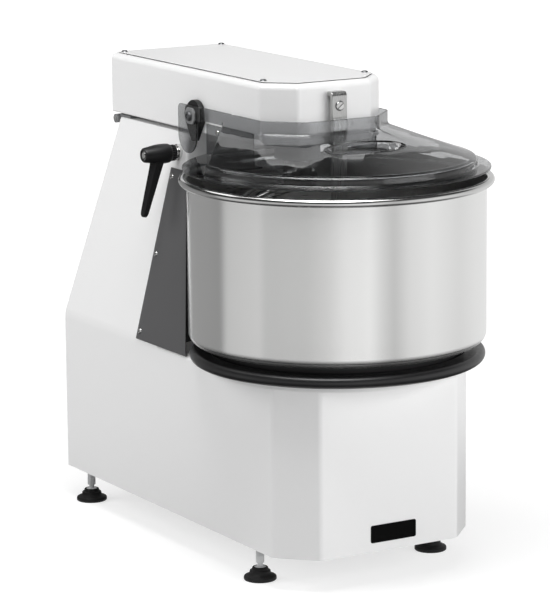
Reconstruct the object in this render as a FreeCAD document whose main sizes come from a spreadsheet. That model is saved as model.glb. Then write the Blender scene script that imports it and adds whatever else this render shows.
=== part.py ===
import FreeCAD, Part
import math
import os
import re

import Sketcher

# Free-standing spiral dough mixer: a tilting head with a spiral and a breaker bar over a
# turning steel bowl. Sizes are in millimetres. Every sub-part is modelled about the bowl's
# upright axis with the floor at Z = 0 and the front towards -Y, and its Placement then moves
# it back so that the machine stands centred on the origin.

Vec = FreeCAD.Vector

DIMENSIONS = [
    # bowl
    ("bowl_radius", 226.5, "outside of the bowl wall"),
    ("bowl_wall", 1.5, "sheet of the bowl wall"),
    ("bowl_base_z", 350.0, "underside of the bowl"),
    ("bowl_floor", 2.0, "sheet of the bowl floor"),
    ("bowl_corner", 15.0, "outer radius between wall and floor"),
    ("rim_tube", 6.2, "radius of the rolled rim"),
    ("rim_z", 596.6, "height of the rim's centre"),
    ("hub_radius", 60.0, "drive boss under the bowl"),
    ("hub_depth", 12.0, "height of the drive boss"),
    ("hex_flats", 40.0, "hexagon that drives the bowl, across flats"),
    # cabinet: base and column
    ("base_half", 173.5, "half width of the base"),
    ("base_front", 147.5, "bowl axis to the front of the base"),
    ("base_back", 578.0, "bowl axis to the back of the base"),
    ("base_chamfer", 53.0, "front corners of the base"),
    ("base_z", 52.5, "underside of the base"),
    ("deck_z", 312.5, "top of the base"),
    ("skin_t", 2.0, "sheet of the cabinet and head"),
    ("cabinet_edge", 4.0, "bend radius of the cabinet's edges"),
    ("column_front", 258.0, "bowl axis to the front wall of the column"),
    ("column_half", 107.0, "half width of the column at its top"),
    ("column_back", 493.0, "bowl axis to the back of the column at its top"),
    ("column_top", 641.0, "top of the column"),
    ("plate_t", 4.0, "inner plates of the column"),
    ("floor_plate", 3.0, "sheet that closes the base below"),
    # front cover of the column
    ("cover_t", 1.5, "sheet of the column's front cover"),
    ("cover_top", 585.0, "top of the front cover"),
    ("cover_lap_low", 323.0, "back edge of the cover's wing at the bottom"),
    ("cover_lap_top", 298.5, "back edge of the cover's wing at the top"),
    ("cover_wing_low", 162.0, "front edge of the cover's wing at the bottom"),
    ("cover_wing_top", 250.0, "front edge of the cover's wing at the top"),
    # turntable and ring
    ("deck_radius", 205.0, "round deck plate on the base"),
    ("deck_t", 8.0, "deck plate"),
    ("ring_radius", 225.0, "outside of the black ring"),
    ("ring_gap", 4.0, "space between the turntable and the black ring"),
    ("ring_height", 18.0, "height of the black ring"),
    ("ring_lip", 8.9, "rounding of the black ring's outer edges"),
    ("table_radius", 192.0, "turntable"),
    ("table_z", 331.5, "underside of the turntable"),
    # bowl drive
    ("shaft_radius", 20.0, "bowl shaft"),
    ("run_gap", 0.05, "running clearance on a radius"),
    ("loose_gap", 0.3, "gap between pieces that pass each other"),
    ("bearing_radius", 40.0, "outside of the bowl shaft's bearings"),
    ("bearing_width", 18.0, "width of the bowl shaft's bearings"),
    ("housing_wall", 10.0, "wall of the bowl shaft's housing"),
    ("housing_z", 256.0, "foot of the bowl shaft's housing"),
    ("flange_radius", 80.0, "flange of the housing"),
    ("flange_t", 10.0, "flange of the housing"),
    ("chain_z", 240.0, "middle of the lower chain"),
    ("head_chain_z", 694.0, "middle of the head's chain"),
    ("chain_pitch", 12.7, "pitch of both chains"),
    ("chain_height", 12.0, "height of both chains"),
    ("chain_depth", 7.0, "depth of both chains across the run"),
    ("sprocket_t", 7.0, "toothed discs"),
    ("tooth_depth", 4.0, "tooth tip over the pitch circle"),
    ("bowl_teeth", 64, "sprocket on the bowl shaft"),
    ("drive_teeth", 10, "sprocket on the drive shaft"),
    ("input_teeth", 21, "sprocket on the head's input shaft"),
    ("spiral_teeth", 16, "sprocket on the spiral shaft"),
    # gear motor and upright drive
    ("drive_y", 400.0, "bowl axis to the upright drive shaft"),
    ("drive_radius", 12.5, "drive shaft and input shaft"),
    ("gearbox_half", 55.0, "half side of the gearbox"),
    ("gearbox_z", 130.0, "foot of the gearbox"),
    ("gearbox_top", 226.0, "top of the gearbox"),
    ("motor_radius", 52.0, "motor over its fins"),
    ("motor_length", 200.0, "motor without its fan cowl"),
    ("cowl_length", 42.0, "fan cowl"),
    ("fin_gap", 8.0, "pitch of the motor's cooling fins"),
    ("stand_t", 6.0, "plates of the gearbox stand"),
    ("jaw_radius", 28.0, "jaw coupling"),
    ("jaw_t", 14.0, "disc of each coupling half"),
    ("jaw_width", 16.0, "tongue of the coupling"),
    ("jaw_depth", 9.0, "height of the tongue"),
    ("jaw_z", 616.0, "where the two coupling halves meet"),
    ("bridge_z", 568.0, "bridge plate under the upper bearing"),
    ("bridge_half", 30.0, "half depth of the bridge plate"),
    ("pillow_wall", 16.5, "wall of the flanged bearings"),
    ("pillow_height", 24.0, "height of the bridge's bearing"),
    ("input_height", 30.0, "height of the head's bearing"),
    # head
    ("head_half", 107.0, "half width of the head"),
    ("head_front", 4.5, "bowl axis to the front of the head"),
    ("head_back", 526.0, "bowl axis to the back of the head"),
    ("head_chamfer", 43.0, "front corners of the head"),
    ("head_z", 648.0, "underside of the head"),
    ("head_height", 94.7, "height of the head without its cover"),
    ("head_edge", 10.0, "rounding of the head's edges"),
    ("lid_plate", 2.0, "flat cover on the head"),
    ("lid_inset", 9.5, "edge of the flat cover inside the head's side"),
    ("head_plate", 8.0, "base plate of the head"),
    ("head_screw_x", 90.0, "cover screws, from the middle"),
    ("head_screw_front", 62.0, "front cover screws"),
    ("head_screw_back", 505.0, "back cover screws"),
    # hinge of the head
    ("hinge_y", 505.0, "tilt axis behind the bowl axis"),
    ("hinge_z", 637.5, "height of the tilt axis"),
    ("hinge_radius", 7.2, "hinge barrels"),
    ("hinge_pin", 4.0, "radius of the hinge pin"),
    ("hinge_half", 109.0, "half length of the hinge"),
    ("hinge_split", 60.0, "half length of the head's own barrel"),
    ("hinge_leaf", 3.5, "leaves of the hinge"),
    ("hinge_leaf_length", 40.0, "leaves of the hinge, from the pin"),
    # spiral and breaker bar
    ("spiral_y", 113.0, "bowl axis to the spiral's axis"),
    ("spiral_shaft", 15.0, "radius of the spiral's shaft"),
    ("spiral_radius", 92.0, "centre line of the spiral"),
    ("spiral_bar", 12.0, "radius of the spiral's round bar"),
    ("spiral_low", 370.0, "centre line of the spiral's lower end"),
    ("spiral_high", 588.0, "centre line of the spiral's upper end"),
    ("spiral_turns", 1.6, "turns of the spiral"),
    ("nose_radius", 36.0, "bearing nose under the head"),
    ("nose_z", 612.5, "underside of the bearing nose"),
    ("nose_bore", 31.0, "bore of the nose for its bearings"),
    ("nose_bearing", 16.0, "width of the nose's bearings"),
    ("nose_flange", 60.0, "radius of the nose's flange"),
    ("nose_flange_t", 8.0, "thickness of the nose's flange"),
    ("nose_lip", 3.5, "lip that holds the lower bearing"),
    ("bar_width", 26.0, "breaker bar"),
    ("bar_t", 7.0, "breaker bar"),
    ("bar_gap", 8.0, "space between breaker bar and head"),
    ("bar_low", 358.0, "lower end of the breaker bar"),
    ("bar_top", 729.0, "top of the breaker bar"),
    ("bar_screw_drop", 21.0, "screw below the top of the breaker bar"),
    ("bar_screw_radius", 4.0, "shank of the breaker bar's screw"),
    # see-through guard
    ("guard_t", 3.0, "sheet of the guard"),
    ("collar_half", 113.0, "half width of the guard's collar"),
    ("collar_front", 20.0, "bowl axis to the front of the collar"),
    ("collar_chamfer", 51.0, "front corners of the collar"),
    ("collar_top", 688.5, "top of the collar"),
    ("collar_low", 668.0, "where the collar meets the dome"),
    ("collar_back", 148.0, "where the dome leaves the collar"),
    ("dome_radius", 205.0, "dome where it turns into the skirt"),
    ("dome_z", 632.0, "height where the dome turns"),
    ("skirt_radius", 212.0, "skirt of the guard"),
    ("skirt_top", 621.0, "top of the straight skirt"),
    ("skirt_low", 614.0, "lower edge of the skirt and underside of its brim"),
    ("skirt_back", 33.0, "back end of the skirt"),
    ("lid_hinge_y", 233.0, "guard hinge behind the bowl axis"),
    ("lid_hinge_z", 674.0, "height of the guard hinge"),
    ("ear_back", 275.0, "back edge of the guard's ears"),
    ("ear_front", 204.5, "front edge of the guard's ears"),
    ("ear_top", 690.0, "top of the ears"),
    ("ear_low", 614.0, "lower end of the ears"),
    ("ear_foot_front", 217.0, "front edge of the ears below the arms"),
    ("ear_gap", 9.8, "head side to the inside of an ear"),
    ("block_radius", 24.5, "black hinge blocks"),
    ("block_low", 634.0, "lower tip of the hinge blocks"),
    ("bolt_radius", 5.0, "guard hinge bolts"),
    ("washer_half", 15.5, "half side of the square washers"),
    ("shield_over", 6.5, "fixed shield and the guard's brim beyond the bowl's wall"),
    ("shield_t", 3.0, "sheet of the shield"),
    ("shield_z", 614.0, "underside of the shield"),
    ("shield_front", 36.5, "front edge of the shield"),
    ("shield_web", 6.87, "web behind the corners of the shield's slot"),
    ("shield_wall", 2.0, "sheet of the shield's upstands"),
    ("shield_top", 664.0, "top of the upstands"),
    ("shield_screw_z", 654.0, "screws of the upstands"),
    ("shield_wall_front", 60.0, "front end of the upstands"),
    ("shield_screw_in", 36.5, "screws in from the upstands' ends"),
    # clamp lever of the head
    ("clamp_y", 286.0, "clamp axis behind the bowl axis"),
    ("clamp_z", 610.0, "height of the clamp axis"),
    ("clamp_stud", 6.0, "radius of the clamp stud"),
    ("clamp_in", 118.0, "inner end of the lever's hub from the middle"),
    ("clamp_out", 177.0, "outer end of the lever's hub"),
    ("clamp_hub", 15.5, "radius of the lever's hub where it is widest"),
    ("clamp_end", 11.5, "radius of the hub's outer end"),
    ("clamp_wide", 30.0, "inner end of the hub's taper, from its outer end"),
    ("clamp_collar", 12.8, "radius of the toothed collar on the hub's inner end"),
    ("clamp_collar_width", 11.5, "toothed collar"),
    ("clamp_arm", 11.5, "radius of the lever's arm at its root"),
    ("clamp_tip", 7.0, "radius of the lever's arm at its tip"),
    ("clamp_boss", 13.0, "boss on the column behind the lever's hub"),
    ("clamp_drop", 98.0, "hub axis down to the lever's tip"),
    ("clamp_lean", 28.0, "how far the lever leans out"),
    ("tongue_x", 96.0, "outer face of the lock tongue"),
    ("tongue_t", 8.0, "lock tongue"),
    ("tongue_half", 16.0, "half width of the lock tongue"),
    ("fork_half", 18.0, "half width of the fork round the tongue"),
    # feet
    ("foot_inset", 19.5, "feet in from the base's sides"),
    ("foot_front_in", 123.5, "front feet back from the base's front"),
    ("foot_back_in", 49.0, "back feet forward from the base's back"),
    ("pad_radius", 25.0, "rubber pads"),
    ("pad_height", 20.0, "rubber pads"),
    ("stem_radius", 4.0, "neck of the foot's stem"),
    ("stud_radius", 6.5, "threaded stem"),
    ("nut_height", 8.0, "lock nuts"),
    # controls, badge and cable inlet
    ("panel_y", 400.0, "middle of the switch panel"),
    ("panel_z", 480.0, "middle of the switch panel"),
    ("panel_width", 60.0, "switch panel"),
    ("panel_height", 110.0, "switch panel"),
    ("panel_depth", 14.0, "switch panel"),
    ("button_radius", 14.0, "push buttons"),
    ("button_pitch", 50.0, "spacing of the push buttons"),
    ("button_travel", 4.0, "stroke of the push buttons"),
    ("badge_width", 80.0, "plain badge"),
    ("badge_height", 27.0, "plain badge"),
    ("badge_z", 80.0, "middle of the badge"),
    ("badge_x", 6.0, "middle of the badge"),
    ("case_width", 170.0, "electric box"),
    ("case_length", 180.0, "electric box"),
    ("case_height", 144.5, "electric box"),
    ("case_front", 27.5, "electric box behind the base's front"),
    ("gland_y", 530.0, "cable gland"),
    ("gland_z", 95.0, "cable gland"),
    ("screw_radius", 4.0, "heads of the small screws"),
    ("screw_height", 2.4, "heads of the small screws"),
    ("screw_depth", 6.0, "reach of the small screws below their seat"),
]

doc = FreeCAD.newDocument("SpiralMixer")
sheet = doc.addObject("Spreadsheet::Sheet", "dims")
for row, (alias, value, note) in enumerate(DIMENSIONS, start=1):
    sheet.set("A%d" % row, alias)
    sheet.set("B%d" % row, str(value))
    sheet.set("C%d" % row, note)
    sheet.setAlias("B%d" % row, alias)
doc.recompute()

# The machine stands centred on the origin: rim at the front, base at the back.
RIM_OUT = "bowl_radius + 2 * rim_tube - 0.5"
SHIFT = "(%s - base_back) / 2" % RIM_OUT
SHIELD_R = "bowl_radius + shield_over"
LEAN = "(base_half - column_half) / (column_top - deck_z)"


def ex(text):
    """Point the words with an underscore at the sheet, as in dims.bowl_radius."""
    return re.sub(r"\b[a-z]+(?:_[a-z0-9]+)+\b", r"dims.\g<0>", str(text))


def val(text):
    """Give the number that an expression has now."""
    return float(sheet.evalExpression(ex(text)))


def bind(obj, **properties):
    """Bind an object's properties to expressions."""
    for name, text in properties.items():
        obj.setExpression(name, ex(text))


AXES = {
    "Z": FreeCAD.Rotation(),
    "X": FreeCAD.Rotation(Vec(0, 1, 0), 90),
    "-X": FreeCAD.Rotation(Vec(0, 1, 0), -90),
    "Y": FreeCAD.Rotation(Vec(1, 0, 0), -90),
    "-Y": FreeCAD.Rotation(Vec(1, 0, 0), 90),
}


own_y = {}


def place(obj, x="0", y="0", z="0", axis="Z"):
    """Turn an object's own Z to an axis and bind its position."""
    own_y[obj.Name] = y
    obj.Placement = FreeCAD.Placement(Vec(), AXES[axis])
    for name, text in (("x", x), ("y", y), ("z", z)):
        obj.setExpression("Placement.Base." + name, ex(text))
    return obj


# ---- Part primitives and booleans ------------------------------------------------

def box(name, x0, x1, y0, y1, z0, z1):
    """Make a block between bound limits."""
    obj = doc.addObject("Part::Box", name)
    bind(obj, Length="(%s) - (%s)" % (x1, x0), Width="(%s) - (%s)" % (y1, y0),
         Height="(%s) - (%s)" % (z1, z0))
    return place(obj, x0, y0, z0)


def cyl(name, radius, height, x="0", y="0", z="0", axis="Z"):
    """Make a bound cylinder that starts at a point and runs along an axis."""
    obj = doc.addObject("Part::Cylinder", name)
    bind(obj, Radius=radius, Height=height)
    return place(obj, x, y, z, axis)


def frustum(name, low, high, z0, z1):
    """Make a block that narrows from z0 to z1; low and high are (x0, x1, y0, y1)."""
    obj = doc.addObject("Part::Wedge", name)
    bind(obj, Xmin=low[0], Xmax=low[1], Zmin="-(%s)" % low[3], Zmax="-(%s)" % low[2],
         X2min=high[0], X2max=high[1], Z2min="-(%s)" % high[3], Z2max="-(%s)" % high[2],
         Ymin=z0, Ymax=z1)
    obj.Placement = FreeCAD.Placement(Vec(), AXES["-Y"])
    return obj


def fuse(name, *shapes):
    obj = doc.addObject("Part::MultiFuse", name)
    obj.Shapes = list(shapes)
    return obj


def common(name, *shapes):
    obj = doc.addObject("Part::MultiCommon", name)
    obj.Shapes = list(shapes)
    return obj


def cut(name, base, *tools):
    obj = doc.addObject("Part::Cut", name)
    obj.Base = base
    obj.Tool = tools[0] if len(tools) == 1 else fuse(name + "_tools", *tools)
    return obj


def mirror(name, source):
    """Copy an object to the machine's other side."""
    obj = doc.addObject("Part::Mirroring", name)
    obj.Source = source
    obj.Normal = Vec(1, 0, 0)
    return obj


def group(name, *shapes):
    obj = doc.addObject("Part::Compound", name)
    obj.Links = list(shapes)
    return obj


def pair(name, source):
    """Join an object and its copy on the other side in one sub-part."""
    return group(name, source, mirror(name + "_right", source))


# ---- PartDesign bodies -----------------------------------------------------------

def outline(body, name, role, points, offset="0"):
    """Draw a closed outline whose corners are bound expressions."""
    sketch = body.newObject("Sketcher::SketchObject", name)
    plane = next(f for f in body.Origin.OriginFeatures if f.Role == role)
    sketch.AttachmentSupport = (plane, [""])
    sketch.MapMode = "FlatFace"
    sketch.setExpression("AttachmentOffset.Base.z", ex(offset))
    spots = [Vec(val(x), val(y), 0) for x, y in points]
    count = len(spots)
    for i in range(count):
        sketch.addGeometry(Part.LineSegment(spots[i], spots[(i + 1) % count]), False)
    for i in range(count):
        sketch.addConstraint(Sketcher.Constraint("Coincident", i, 2, (i + 1) % count, 1))
    for i, (x, y) in enumerate(points):
        for kind, text, number in (("DistanceX", x, spots[i].x), ("DistanceY", y, spots[i].y)):
            index = sketch.addConstraint(Sketcher.Constraint(kind, i, 1, number))
            sketch.setExpression("Constraints[%d]" % index, ex(text))
    return sketch


def pad(body, name, sketch, length):
    feature = body.newObject("PartDesign::Pad", name)
    feature.Profile = sketch
    feature.setExpression("Length", ex(length))
    return feature


def prism(name, points, z0, z1):
    """Make a body from an outline seen from above, between two heights."""
    body = doc.addObject("PartDesign::Body", name)
    sketch = outline(body, name + "_outline", "XY_Plane", points, z0)
    pad(body, name + "_pad", sketch, "(%s) - (%s)" % (z1, z0))
    return body


def side_prism(name, points, x0, x1):
    """Make a body from a (y, z) outline seen from the side, between two widths."""
    body = doc.addObject("PartDesign::Body", name)
    sketch = outline(body, name + "_outline", "YZ_Plane", points, x0)
    pad(body, name + "_pad", sketch, "(%s) - (%s)" % (x1, x0))
    return body


def turned(name, profile, x="0", y="0", z="0", axis="Z"):
    """Make a turned body from (radius, height) corners and put it on an axis."""
    body = doc.addObject("PartDesign::Body", name)
    sketch = outline(body, name + "_profile", "XZ_Plane", profile)
    feature = body.newObject("PartDesign::Revolution", name + "_turn")
    feature.Profile = sketch
    feature.ReferenceAxis = (sketch, ["V_Axis"])
    feature.Angle = 360
    return place(body, x, y, z, axis)


def round_edges(body, name, radius, test):
    """Fillet those edges of a body for which the test on their box says yes."""
    doc.recompute()
    base = body.Tip
    names = ["Edge%d" % (i + 1) for i, e in enumerate(base.Shape.Edges) if test(e)]
    feature = body.newObject("PartDesign::Fillet", name)
    feature.Base = (base, names)
    feature.setExpression("Radius", ex(radius))
    return feature


def bored(name, body, radius, depth, positions, z0):
    """Cut round holes along Z through a sub-part at a list of (x, y) places."""
    holes = [cyl("%s_hole_%d" % (name, i), radius, depth, x, y, z0)
             for i, (x, y) in enumerate(positions)]
    return cut(name, body, *holes)


def fixed(name, make):
    """Add a sub-part whose shape Part's own functions make from the sheet's values."""
    obj = doc.addObject("Part::Feature", name)
    obj.Shape = make()
    return obj


def tube(name, outer, inner, height, x="0", y="0", z="0", axis="Z"):
    """Make a turned ring or sleeve."""
    profile = [(inner, "0"), (outer, "0"), (outer, height), (inner, height)]
    return turned(name, profile, x, y, z, axis)


# ---- Sub-parts -------------------------------------------------------------------

nodes = {}


def node(name, obj):
    """Keep an object as a finished sub-part and move it to the machine's frame."""
    obj.setExpression("Placement.Base.y", ex("%s + (%s)" % (SHIFT, own_y.get(obj.Name, "0"))))
    obj.Label = name
    nodes[name] = obj
    return obj


def chamfered(half, front, back, chamfer):
    """Give the outline of a box with both front corners cut off."""
    return [("-(%s)" % half, back), ("-(%s)" % half, "-(%s) + %s" % (front, chamfer)),
            ("-(%s) + %s" % (half, chamfer), "-(%s)" % front),
            ("%s - (%s)" % (half, chamfer), "-(%s)" % front),
            (half, "-(%s) + %s" % (front, chamfer)), (half, back)]


def inset(half, front, back, chamfer, gap):
    """Give the same outline moved inwards all round by a gap."""
    return chamfered("%s - (%s)" % (half, gap), "%s - (%s)" % (front, gap),
                     "%s - (%s)" % (back, gap), "%s - 0.586 * (%s)" % (chamfer, gap))


BASE = ("base_half", "base_front", "base_back", "base_chamfer")
HEAD = ("head_half", "-head_front", "head_back", "head_chamfer")
COLLAR = ("collar_half", "collar_front", "collar_back", "collar_chamfer")


def vertical(edge):
    size = edge.BoundBox
    return size.ZLength > 1 and size.XLength < 1e-6 and size.YLength < 1e-6


def column_block(name, grow, y_front, z0, z1):
    """Make the column's leaning block, grown outwards by a sheet or shrunk by one."""
    back_lean = "(base_back - column_back) / (column_top - deck_z)"
    low, high = [("base_half + %s - (%s - deck_z) * %s" % (grow, z, LEAN),
                  "base_back + %s - (%s - deck_z) * %s" % (grow, z, back_lean))
                 for z in ("(%s)" % z0, "(%s)" % z1)]
    return frustum(name, ("-(%s)" % low[0], low[0], y_front, low[1]),
                   ("-(%s)" % high[0], high[0], y_front, high[1]), z0, z1)


def make_cabinet():
    """Base and column in one welded sheet shell, open below and at the column's top."""
    outside = prism("base_outside", chamfered(*BASE), "base_z", "deck_z")
    round_edges(outside, "base_bends", "cabinet_edge", vertical)
    inside = prism("base_inside", inset(*BASE, "skin_t"), "base_z - 1", "deck_z - skin_t")
    outer_column = column_block("column_outside", "0", "column_front", "deck_z", "column_top")
    inner_column = column_block("column_inside", "-skin_t", "column_front + skin_t",
                                "deck_z - skin_t", "column_top + 1")
    deck_hole = cyl("base_deck_hole", "bearing_radius + housing_wall + 1", "skin_t + 2",
                    z="deck_z - skin_t - 1")
    stud_hole = cyl("cabinet_stud_hole", "clamp_stud + loose_gap", "60", "-150",
                    "clamp_y", "clamp_z", "X")
    gland_hole = cyl("cabinet_gland_hole", "9", "20", "base_half - 10", "gland_y", "gland_z", "X")
    boss = cyl("cabinet_clamp_boss", "clamp_boss", "15", "-clamp_in + loose_gap",
               "clamp_y", "clamp_z", "X")
    return cut("cabinet_cut", fuse("cabinet_outside", outside, outer_column, boss),
               inside, inner_column, deck_hole, stud_hole, gland_hole,
               cover_holes("cabinet_screw_hole"))


def make_column_cover():
    """Bent sheet in front of the column, with wings that lap over its sides."""
    shell = cut("cover_shell",
                column_block("cover_outside", "cover_t", "cover_wing_low - 5", "deck_z + loose_gap",
                             "column_top"),
                column_block("cover_inside", "0", "cover_wing_low - 6", "deck_z", "column_top + 1"))
    wing = side_prism("cover_wings", [("cover_lap_low", "deck_z + loose_gap"),
                                      ("cover_lap_top", "cover_top"),
                                      ("cover_wing_top", "cover_top"),
                                      ("cover_wing_low", "deck_z + loose_gap")],
                      "-base_half - 10", "base_half + 10")
    front = common("cover_front",
                   column_block("cover_front_block", "cover_t", "column_front - cover_t",
                                "deck_z + loose_gap", "cover_top"),
                   box("cover_front_slab", "-base_half - 10", "base_half + 10",
                       "column_front - cover_t", "column_front", "deck_z", "column_top"))
    return cut("column_cover_cut", fuse("column_cover_all", common("cover_sides", shell, wing), front),
               cover_holes("cover_hole"))


def lean_place(obj, y, z, side=-1):
    """Put an object on one side of the column, square to its leaning sheet."""
    own_y[obj.Name] = y
    obj.Placement = FreeCAD.Placement(Vec(), FreeCAD.Rotation(Vec(0, side, 0), 90))
    obj.setExpression("Placement.Rotation.Angle", ex("90 deg - atan(%s)" % LEAN))
    obj.setExpression("Placement.Base.x",
                      ex("%d * (base_half - (%s - deck_z) * %s)" % (side, z, LEAN)))
    obj.setExpression("Placement.Base.y", ex(y))
    obj.setExpression("Placement.Base.z", ex(z))
    return obj


def screw_profile(stand_off="0"):
    """Low round head with a short shank below it."""
    return [("0", "-screw_depth"), ("screw_radius / 2", "-screw_depth"),
            ("screw_radius / 2", stand_off),
            ("screw_radius", stand_off), ("screw_radius", "%s + screw_height / 2" % stand_off),
            ("screw_radius * 0.6", "%s + screw_height" % stand_off),
            ("0", "%s + screw_height" % stand_off)]


def at_cover_screws(name, make):
    """Put the same piece at each of the three screws on both wings."""
    slope = "(cover_lap_top - cover_lap_low) / (cover_top - deck_z)"
    rows = []
    for i, z in enumerate(("deck_z + 13", "(deck_z + cover_top) / 2", "cover_top - 14")):
        y = "cover_lap_low - 8 + (%s - deck_z) * %s" % (z, slope)
        rows.append(lean_place(make("%s_%d" % (name, i)), y, z))
    return pair(name + "_pair", group(name + "_left", *rows))


def cover_holes(name):
    """Holes for the cover's screws, as solids to cut away."""
    def hole(title):
        return turned(title, [("0", "-screw_depth - 2"), ("screw_radius / 2", "-screw_depth - 2"),
                              ("screw_radius / 2", "cover_t + 2"), ("0", "cover_t + 2")])
    return at_cover_screws(name, hole)


def head_holes(name):
    """Holes for the head cover's screws, as solids to cut away."""
    return group(name, *[cyl("%s_%d" % (name, i), "screw_radius / 2", "20", x, y, "head_z + head_height - 10")
                         for i, (x, y) in enumerate(HEAD_SCREWS)])


HEAD_SCREWS = [("%s * head_screw_x" % side, y) for side in ("-1", "1")
               for y in ("head_screw_front", "head_screw_back")]


def rounded_disc(name, radius, inner, z0, height, lip):
    """Turned ring whose outer edges are rounded."""
    body = turned(name, [(inner, z0), (radius, z0), (radius, "%s + %s" % (z0, height)),
                         (inner, "%s + %s" % (z0, height))])
    round_edges(body, name + "_lip", lip,
                lambda e: abs(e.BoundBox.XMax - val(radius)) < 0.01 and e.BoundBox.ZLength < 0.01)
    return body


def make_bowl():
    """Steel bowl with a rolled rim, in one turned sheet."""
    inner = "bowl_radius - bowl_wall"
    body = turned("bowl_sheet", [("0", "bowl_base_z"), ("bowl_radius", "bowl_base_z"),
                                 ("bowl_radius", "rim_z"), (inner, "rim_z"),
                                 (inner, "bowl_base_z + bowl_floor"),
                                 ("0", "bowl_base_z + bowl_floor")])
    low = val("bowl_base_z + bowl_floor") + 0.01
    round_edges(body, "bowl_corner_out", "bowl_corner",
                lambda e: e.BoundBox.ZMax < low - 1 and e.BoundBox.XMax > 100)
    round_edges(body, "bowl_corner_in", "bowl_corner - bowl_floor",
                lambda e: low - 1 < e.BoundBox.ZMax < low and abs(e.BoundBox.XMax - val(inner)) < 0.01)
    rim = doc.addObject("Part::Torus", "bowl_rim")
    bind(rim, Radius1="bowl_radius + rim_tube - 0.5", Radius2="rim_tube")
    place(rim, z="rim_z")
    return fuse("bowl_all", body, rim)


def hexagon(flats):
    """Corners of a hexagon of a given width across its flats."""
    return [("(%s) / sqrt(3) * cos(%d)" % (flats, a), "(%s) / sqrt(3) * sin(%d)" % (flats, a))
            for a in range(0, 360, 60)]


def make_bowl_hub():
    """Boss under the bowl with the hexagonal socket that the shaft drives."""
    disc = cyl("bowl_hub_disc", "hub_radius", "hub_depth", z="bowl_base_z - hub_depth")
    socket = prism("bowl_hub_socket", hexagon("hex_flats + 2 * loose_gap"),
                   "bowl_base_z - hub_depth - 1", "bowl_base_z - 1")
    return cut("bowl_hub_cut", disc, socket)


def make_turntable():
    """Black disc that carries the bowl and hides its drive."""
    top = "bowl_base_z"
    body = turned("turntable_disc", [("shaft_radius + run_gap", "table_z"), ("table_radius", "table_z"),
                                     ("table_radius", top), ("hub_radius + loose_gap", top),
                                     ("hub_radius + loose_gap", "table_z + 4"),
                                     ("shaft_radius + run_gap", "table_z + 4")])
    round_edges(body, "turntable_edge", "2",
                lambda e: abs(e.BoundBox.XMax - val("table_radius")) < 0.01 and e.BoundBox.ZLength < 0.01)
    return body


def make_bowl_shaft():
    """Shaft of the bowl, with the hexagon on its top."""
    rod = cyl("bowl_shaft_rod", "shaft_radius", "table_z + 4 - (chain_z - 12)", z="chain_z - 12")
    head = prism("bowl_shaft_hex", hexagon("hex_flats"), "table_z + 4", "bowl_base_z - 2")
    return fuse("bowl_shaft_all", rod, head)


def make_housing():
    """Flanged housing that hangs the bowl shaft's bearings under the deck."""
    outer = "bearing_radius + housing_wall"
    seat = "bearing_radius"
    neck = "shaft_radius + 6"
    top = "deck_z + deck_t"
    return turned("bowl_housing", [
        (seat, "housing_z"), (outer, "housing_z"), (outer, "deck_z - skin_t - flange_t"),
        ("flange_radius", "deck_z - skin_t - flange_t"), ("flange_radius", "deck_z - skin_t"),
        (outer, "deck_z - skin_t"), (outer, top), (neck, top), (neck, "%s - 6" % top),
        (seat, "%s - 6" % top)])


def sprocket(teeth, bore, hub):
    """Toothed disc with a hub, from the pitch and the number of teeth."""
    def make():
        count = int(val(teeth))
        pitch_radius = val("chain_pitch") / (2 * math.sin(math.pi / count))
        root = pitch_radius - val("tooth_depth")
        tip = pitch_radius + val("tooth_depth")
        points = []
        for i in range(count):
            for share, radius in ((-0.30, root), (-0.12, tip), (0.12, tip), (0.30, root)):
                angle = 2 * math.pi * (i + share) / count
                points.append(Vec(radius * math.cos(angle), radius * math.sin(angle), 0))
        half = val("sprocket_t") / 2
        disc = Part.Face(Part.makePolygon(points + points[:1])).extrude(Vec(0, 0, 2 * half))
        disc.translate(Vec(0, 0, -half))
        boss = Part.makeCylinder(val(hub), 12)
        hole = Part.makeCylinder(val(bore), 60, Vec(0, 0, -30))
        return disc.fuse(boss).cut(hole).removeSplitter()
    return make


def chain_loop(big_teeth, small_teeth, distance):
    """Chain round two sprockets, just outside the tips of their teeth."""
    def loop(grow):
        radii = [val("chain_pitch") / (2 * math.sin(math.pi / int(val(t)))) + val("tooth_depth") + grow
                 for t in (big_teeth, small_teeth)]
        span = val(distance)
        low = -val("chain_height") / 2
        slope = math.acos((radii[0] - radii[1]) / span)
        spots = [Vec(side * radius * math.sin(slope), centre + radius * math.cos(slope), low)
                 for centre, radius in ((0, radii[0]), (span, radii[1])) for side in (1, -1)]
        back = Vec(0, -radii[0], low)
        far = Vec(0, span + radii[1], low)
        wire = Part.Wire([Part.Arc(spots[1], back, spots[0]).toShape(),
                          Part.makeLine(spots[0], spots[2]),
                          Part.Arc(spots[2], far, spots[3]).toShape(),
                          Part.makeLine(spots[3], spots[1])])
        return Part.Face(wire).extrude(Vec(0, 0, val("chain_height")))

    def make():
        gap = val("loose_gap")
        return loop(gap + val("chain_depth")).cut(loop(gap))
    return make


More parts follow.
